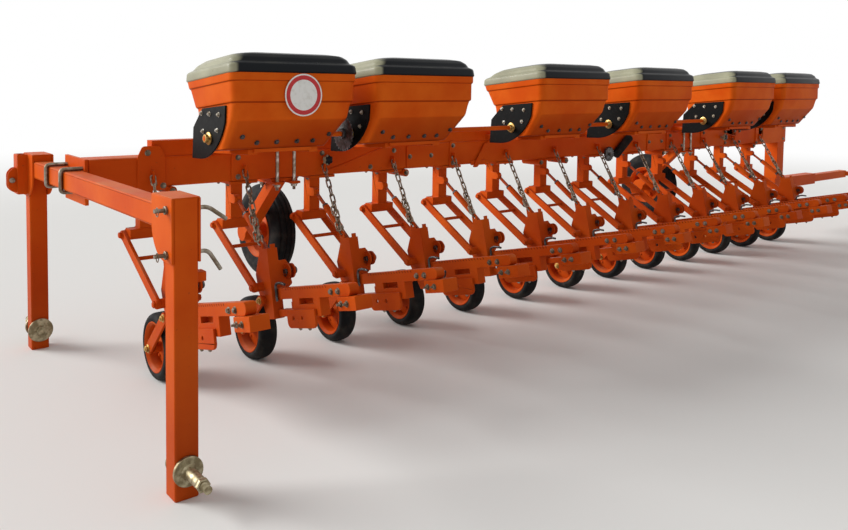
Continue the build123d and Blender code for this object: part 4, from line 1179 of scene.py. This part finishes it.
PIPE_XS, PIPE_RADIUS, PIPE_LENGTH, PIPE_OUT = (-2.611, -1.252, -0.125), 0.021, 0.156, 0.010


def against_bar(outline, lift=0.0):
    """A plate of an outline in X and Z that stands on the bar's rear face."""
    return placed(slab(rounded(outline, 0.012, 3), SHEET), machine(0, -BAR_HALF - lift, 0), REAR_TURN)


mirrored_plates = [[(-x, z) for x, z in reversed(outline)] for outline in PLATES[:4]]
plates = [against_bar(outline) for outline in (*PLATES, *mirrored_plates, BRACKET, *RIGHT_ONLY)]
plates.append(against_bar(STRAP, SHEET))
pipe = turned([
    (PIPE_RADIUS - 0.005, 0.006), (PIPE_RADIUS - 0.004, 0), (PIPE_RADIUS, 0.001),
    (PIPE_RADIUS, PIPE_LENGTH - 0.001), (PIPE_RADIUS - 0.004, PIPE_LENGTH),
], 24)
pipe_spots = [machine(side * x, -BAR_HALF - PIPE_OUT, bar_bottom - PIPE_RADIUS)
              for x in PIPE_XS for side in (-1, 1)]
plates += [placed(pipe, spot, turn_z_to(FRONT)) for spot in pipe_spots]
make_piece("bar_plates", joined(plates), "orange_paint")

bolt_spots = [(side * x, z) for x, z in PAIRED_BOLTS for side in (-1, 1)] + [*SINGLE_BOLTS]
bar_bolts = [(machine(x, -BAR_HALF - SHEET, z), REAR, BAR_BOLT, 0.003) for x, z in bolt_spots]
bar_bolts += [(spot + (0, -0.001, 0), REAR, BAR_BOLT, 0.004) for spot in pipe_spots]
make_piece("bar_bolts", bolts(bar_bolts), "zinc_steel", worn_zinc)
print(len(plates), "plates and", len(bar_bolts), "bolts on the bar")

# %% [markdown]
# ## Drive parts on the toolbar
# Two black hand knobs lock the drive, and a toothed wheel with a sleeved rod takes the
# metering drive up from the bar. A knob is a turned mushroom with finger scallops, made by
# letting its radius swing with the angle; the gear is the same idea with more swings.

# %% Knobs, gear and sleeve
KNOB_SPOTS = ((-1.797, 0.928), (2.075, 0.919))
KNOB = (
    (0.010, 0, 0), (0.010, 0.022, 0), (0.024, 0.025, 1), (0.028, 0.031, 1), (0.028, 0.042, 1),
    (0.024, 0.048, 1), (0.012, 0.051, 0),
)
GEAR = ((0.049, 0, 1), (0.052, 0.002, 1), (0.052, 0.016, 1), (0.049, 0.018, 1))
GEAR_X, GEAR_Z, GEAR_OUT, GEAR_TEETH = 0.554, 0.850, 0.024, 18
SLEEVE_ENDS, SLEEVE_OUT, SLEEVE_RINGS = ((0.635, 0.838), (0.793, 0.960)), 0.030, 41
SLEEVE_RADII = (0.028, 0.030)


def scalloped(profile, count, depth, steps):
    """Turned rows whose radius swings with the angle; a row is (radius, height, swing)."""
    dips = [depth * (0.5 + 0.5 * math.cos(2 * math.pi * count * k / steps)) for k in range(steps)]
    return loft([
        [((r - swing * dip) * c, (r - swing * dip) * s, z) for dip, (c, s) in zip(dips, circle(steps))]
        for r, z, swing in profile
    ])


knob = scalloped(KNOB, 6, 0.005, 60)
gear = scalloped(GEAR, GEAR_TEETH, 0.009, 6 * GEAR_TEETH)
gear_hub = turned([(0.013, -0.024), (0.013, 0.024), (0.011, 0.027)], 18)
knobs = joined([placed(knob, machine(x, -BAR_HALF - SHEET, z), turn_z_to(REAR)) for x, z in KNOB_SPOTS])
make_piece("drive_knobs", knobs, "black_plastic")
sleeve_low, sleeve_high = [machine(x, -BAR_HALF - SLEEVE_OUT, z) for x, z in SLEEVE_ENDS]
sleeve_path = np.linspace(sleeve_low, sleeve_high, SLEEVE_RINGS)
sleeve = tube(sleeve_path, [SLEEVE_RADII[k % 2] for k in range(SLEEVE_RINGS)], 18)
make_piece("drive_sleeve", sleeve, "rubber")
gear_spot = machine(GEAR_X, -BAR_HALF - GEAR_OUT, GEAR_Z)
drive = [placed(part, gear_spot, turn_z_to(REAR)) for part in (gear, gear_hub)]
make_piece("drive_gear", joined(drive), "zinc_steel", dark_steel)
print("two knobs, a gear of", GEAR_TEETH, "teeth and a sleeve")

# %% [markdown]
# ## U-bolts
# Square U-bolts clamp the portal on the bar's end plate and the wheel arms under the bar.
# Each is one rod: four points with swept corners, round the tube it holds, then threads
# and nuts on the tails. The arms' bolts close on a strap plate below the bar.

# %% Build the U-bolts
ROD, ROD_BEND, NUT = 0.009, 0.018, 0.014
PORTAL_TAIL, PORTAL_NUT, BAR_TAIL = 0.056, 0.016, 0.010
ARM_PLATE, FLAT_WIDTH = 0.016, 0.03
STRAP_WIDE, STRAP_HALF, STRAP_THICK = 0.024, 0.105, 0.012


def bent_rod(path, radius, sides):
    """A round rod through points, swept round at its corners."""
    return tube(rounded(path, ROD_BEND, 6, closed=False), radius, sides)


portal_rods, bar_rods, portal_nuts, bar_nuts, straps = [], [], [], [], []
strap = slab(oblong(-STRAP_WIDE, -STRAP_HALF, STRAP_WIDE, STRAP_HALF), STRAP_THICK)
strap_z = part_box("support_arms")[1].z - ARM_PLATE - STRAP_THICK
for low, high in solids_of("u_bolts"):
    x, y = (low[0] + high[0]) / 2, (low[1] + high[1]) / 2
    base, top = low[2] + ROD, high[2] - ROD
    if high[1] - low[1] < FLAT_WIDTH:
        tail, out = high[0] + PORTAL_TAIL, low[0] + ROD
        path = [(tail, y, top), (out, y, top), (out, y, base), (tail, y, base)]
        portal_rods.append(bent_rod(path, ROD, 14))
        portal_nuts += [((high[0] + PORTAL_NUT, y, z), RIGHT, NUT, 0.012) for z in (top, base)]
    else:
        rear, front, tail = low[1] + ROD, high[1] - ROD, strap_z - BAR_TAIL
        path = [(x, rear, tail), (x, rear, top), (x, front, top), (x, front, tail)]
        bar_rods.append(bent_rod(path, ROD, 14))
        bar_nuts += [((x, side, strap_z), DOWN, NUT, 0.016) for side in (rear, front)]
        straps.append(placed(strap, (x, bar_y, strap_z)))
portal_u_bolts = joined(portal_rods + [bolts(portal_nuts)])
make_piece("portal_u_bolts", portal_u_bolts, "zinc_steel", worn_zinc, replaces=["u_bolts"])
make_piece("bar_u_bolts", joined(bar_rods + [bolts(bar_nuts)]), "zinc_steel")
make_piece("bar_straps", joined(straps), "orange_paint")
print(len(portal_rods), "and", len(bar_rods), "U-bolts")

# %% [markdown]
# ## Pins of the road portal
# Two long-handled pins lock the near leg in its sleeve, each with a spring clip through its
# tip and a collar on either face. A pin is one bent rod, and its clip is an oval of wire.

# %% Build the pins
LEG_HALF, SLEEVE_WALL = 0.040, 0.008
PINS = ((0.927, 0.046, 0.064), (0.785, 0.068, 0.044))
PIN_EXIT, PIN_ROD = 0.040, 0.007
CLIP_OUT, CLIP_DROP, CLIP_WIDE, CLIP_HIGH, CLIP_WIRE = 0.030, 0.004, 0.010, 0.014, 0.0016

portal_low, portal_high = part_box("transport_portal")
portal_x = (portal_low.x + portal_high.x) / 2
near_y, far_y = portal_low.y + LEG_HALF, portal_high.y - LEG_HALF
face = LEG_HALF + SLEEVE_WALL
tip, bent = portal_x - face - PIN_EXIT, portal_x + face + PIN_EXIT
collar = turned([(0.012, 0), (0.0135, 0.001), (0.0135, 0.007), (0.012, 0.008)], 18)
pins = []
for z, drop, reach in PINS:
    path = [(tip, near_y, z), (bent, near_y, z), (bent + reach, near_y, z - drop)]
    clip = [(portal_x - face - CLIP_OUT, near_y + CLIP_WIDE * c, z - CLIP_DROP + CLIP_HIGH * s)
            for c, s in circle(19)]
    pins += [bent_rod(path, PIN_ROD, 12), tube(clip, CLIP_WIRE, 6, closed=True)]
    pins += [placed(collar, (portal_x + side * face, near_y, z), turn_z_to((side, 0, 0))) for side in (-1, 1)]
make_piece("leg_pins", joined(pins), "zinc_steel", worn_zinc)
print(len(pins), "pin parts")

# %% [markdown]
# ## Spindles for the road wheels
# At the feet sit the spindles that take the road wheels: a flange, a smooth seat, and a
# threaded end with its nut, with a disc and nut on the inner side. The threads are stacked
# rings again. The near leg's inner disc is the smaller one.

# %% Build the spindles
SPINDLE = (
    (0.047, 0), (0.049, 0.002), (0.049, 0.012), (0.047, 0.014), (0.026, 0.015), (0.022, 0.020),
    (0.0199, 0.026), (0.0199, 0.107), (0.018, 0.109),
)
OUTER_NUT = ((0.021, 0.110), (0.023, 0.112), (0.023, 0.124), (0.020, 0.127))
INNER_NUT = ((0.021, 0.010), (0.023, 0.012), (0.023, 0.023), (0.020, 0.026))
NEAR_DISC, FAR_DISC = 0.038, 0.057

spindle_low, spindle_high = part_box("wheel_spindles")
spindle_z = (spindle_low.z + spindle_high.z) / 2
outer = joined([turned(SPINDLE, 32), thread(0.0134, 0.108, 0.158, 0.004), turned(OUTER_NUT, 6)])


def back_disc(radius):
    """A thick washer with a nut, on the inner side of a foot."""
    rows = [(radius - 0.002, 0), (radius, 0.002), (radius, 0.008), (radius - 0.002, 0.010), (0.030, 0.0105)]
    return joined([turned(rows, 36), turned(INNER_NUT, 6)])


spindle_zinc = steel("spindle_zinc", rgb(178, 168, 140), rgb(124, 112, 86), 0.35)
spindles = []
for y, way, radius in ((near_y, REAR, NEAR_DISC), (far_y, FRONT, FAR_DISC)):
    foot, step = np.array((portal_x, y, spindle_z)), np.array(way) * LEG_HALF
    spindles.append(placed(outer, foot + step, turn_z_to(way)))
    spindles.append(placed(back_disc(radius), foot - step, turn_z_to(-np.array(way))))
make_piece("leg_spindles", joined(spindles), "zinc_steel", spindle_zinc, replaces=["wheel_spindles"])
print("spindles at", round(spindle_z, 3), "m")

# %% [markdown]
# ## Caps and the far holder
# A plate caps each leg and ends in a lip that stands on the beam, and a tab sticks out of
# the near leg. The far leg carries a small channel with two lugs and a pin through them.
# All but the pin is flat work again, stood up like the plates of the bar.

# %% Build the caps
CAP_LENGTH, CAP_HALF, CAP_THICK, LIP_INSET = 0.168, 0.047, 0.004, 0.006
BEAM_TOP, TAB_Z = 0.935, 0.690
FLANGE = [(-0.092, 0.772), (-0.046, 0.772), (-0.046, 0.964), (-0.092, 0.964)]
LUG = [(-0.086, 0.900), (-0.108, 0.900), (-0.130, 0.876), (-0.130, 0.806), (-0.108, 0.782), (-0.086, 0.782)]
FLANGE_SHIFTS, LUG_SHIFTS = (-0.031, 0.040), (-0.012, 0.022)
LUG_PIN = (
    (0.011, -0.032), (0.013, -0.030), (0.013, -0.024), (0.009, -0.023), (0.009, 0.034), (0.007, 0.036),
)
LUG_PIN_X, LUG_PIN_Z = -0.112, 0.841


def on_far_leg(plate, shift):
    """A flat plate in X and Z, stood up beside the far leg."""
    return placed(plate, (portal_x, far_y + shift, 0), REAR_TURN)


lip = slab(oblong(-LEG_HALF, 0, LEG_HALF, portal_high.z - BEAM_TOP), CAP_THICK)
caps = []
for y, inward in ((near_y, 1), (far_y, -1)):
    start, end = sorted((-inward * LEG_HALF, inward * (CAP_LENGTH - LEG_HALF)))
    cap = slab(oblong(-CAP_HALF, start, CAP_HALF, end, 0.006), CAP_THICK)
    caps.append(placed(cap, (portal_x, y, portal_high.z - 0.001)))
    lip_y = y + inward * (CAP_LENGTH - LEG_HALF - LIP_INSET)
    caps.append(placed(lip, (portal_x, lip_y, BEAM_TOP), REAR_TURN))
tab = slab(oblong(0, -0.020, 0.036, 0.020), 0.032, 0.002)
caps.append(placed(tab, (portal_x + LEG_HALF - 0.001, near_y, TAB_Z)))
make_piece("leg_caps", joined(caps), "orange_paint")

holder = [on_far_leg(slab(rounded(FLANGE, 0.006, 3), 0.009), shift) for shift in FLANGE_SHIFTS]
holder.append(placed(slab(oblong(-0.092, -0.038, -0.083, 0.038), 0.192), (portal_x, far_y, 0.772)))
holder += [on_far_leg(slab(rounded(LUG, 0.014, 4), 0.010), shift) for shift in LUG_SHIFTS]
make_piece("far_holder", joined(holder), "orange_paint")
lug_pin = placed(turned(LUG_PIN, 18), (portal_x + LUG_PIN_X, far_y, LUG_PIN_Z), turn_z_to(FRONT))
make_piece("far_holder_pin", lug_pin, "zinc_steel", worn_zinc)
print(len(caps), "cap parts and", len(holder), "holder plates")

# %% [markdown]
# ## Floor and light
# A pale floor keeps the shadow that ties the machine to the ground, and it fades to white
# with distance so that no horizon cuts through the picture. One broad sun from the left,
# a little ahead of the machine, gives every unit along the bar the same light, which a
# nearby lamp could not: left faces shine and rear faces lie in soft shade. The world fills
# the shade, and it looks white wherever the camera sees it.

# %% Stage
FLOOR_REACH = 60.0
FADE_FROM, FADE_TO = 5.0, 13.0
TO_SUN = (-0.62, 0.66, 0.42)
SUN_STRENGTH = 3.2
SUN_SPREAD = 34
SKY_STRENGTH = 0.44

floor_data = bpy.data.meshes.new("floor")
floor_data.from_pydata(
    [(x * FLOOR_REACH, y * FLOOR_REACH, 0) for x, y in ((-1, -1), (1, -1), (1, 1), (-1, 1))],
    [],
    [(0, 1, 2, 3)],
)
floor = bpy.data.objects.new("floor", floor_data)
scene.collection.objects.link(floor)
floor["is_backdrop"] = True
floor_finish, start, skin = new_finish("floor", rgb(236, 235, 232), 0.9, gloss=0.1)
spot = start.node("ShaderNodeNewGeometry")
away = start.node("ShaderNodeVectorMath", {"operation": "LENGTH"}, {0: spot}, output=1)
seen = start.node("ShaderNodeLightPath", output=0)
mirrored = start.node("ShaderNodeLightPath", output=3)
far = away.step(FADE_FROM, FADE_TO) * start.math("MAXIMUM", seen, mirrored)
white = start.node("ShaderNodeEmission", None, {"Color": (1, 1, 1, 1), "Strength": 1.0})
tree = floor_finish.node_tree
blend = start.node("ShaderNodeMixShader", None, {0: far, 2: white})
tree.links.new(skin.outputs[0], blend.socket.node.inputs[1])
tree.links.new(blend.socket, tree.nodes["Material Output"].inputs["Surface"])
floor_data.materials.append(floor_finish)

sun = bpy.data.objects.new("sun", bpy.data.lights.new("sun", "SUN"))
scene.collection.objects.link(sun)
sun.data.energy = SUN_STRENGTH
sun.data.angle = math.radians(SUN_SPREAD)
sun.rotation_euler = (-Vector(TO_SUN)).to_track_quat("-Z", "Y").to_euler()

world = bpy.data.worlds.new("sky")
scene.world = world
world.use_nodes = True
sky = Signal(world.node_tree)
seen = sky.node("ShaderNodeLightPath", output=0)
mirrored = sky.node("ShaderNodeLightPath", output=3)
through = sky.node("ShaderNodeLightPath", output=6)
direct = sky.math("MAXIMUM", sky.math("MAXIMUM", seen, mirrored), through)
backdrop = world.node_tree.nodes["Background"]
backdrop.inputs["Color"].default_value = (1, 1, 1, 1)
feed(backdrop, "Strength", SKY_STRENGTH + (1 - SKY_STRENGTH) * direct)
print("stage ready")

# %% [markdown]
# ## Size
# The dressed machine should keep the size of the imported one, so the box of every shown
# piece is printed. Only the lugs of the far holder reach past it, seven centimetres to
# the left.

# %% Finish
low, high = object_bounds()
print("visual box", [round(v, 3) for v in high - low])
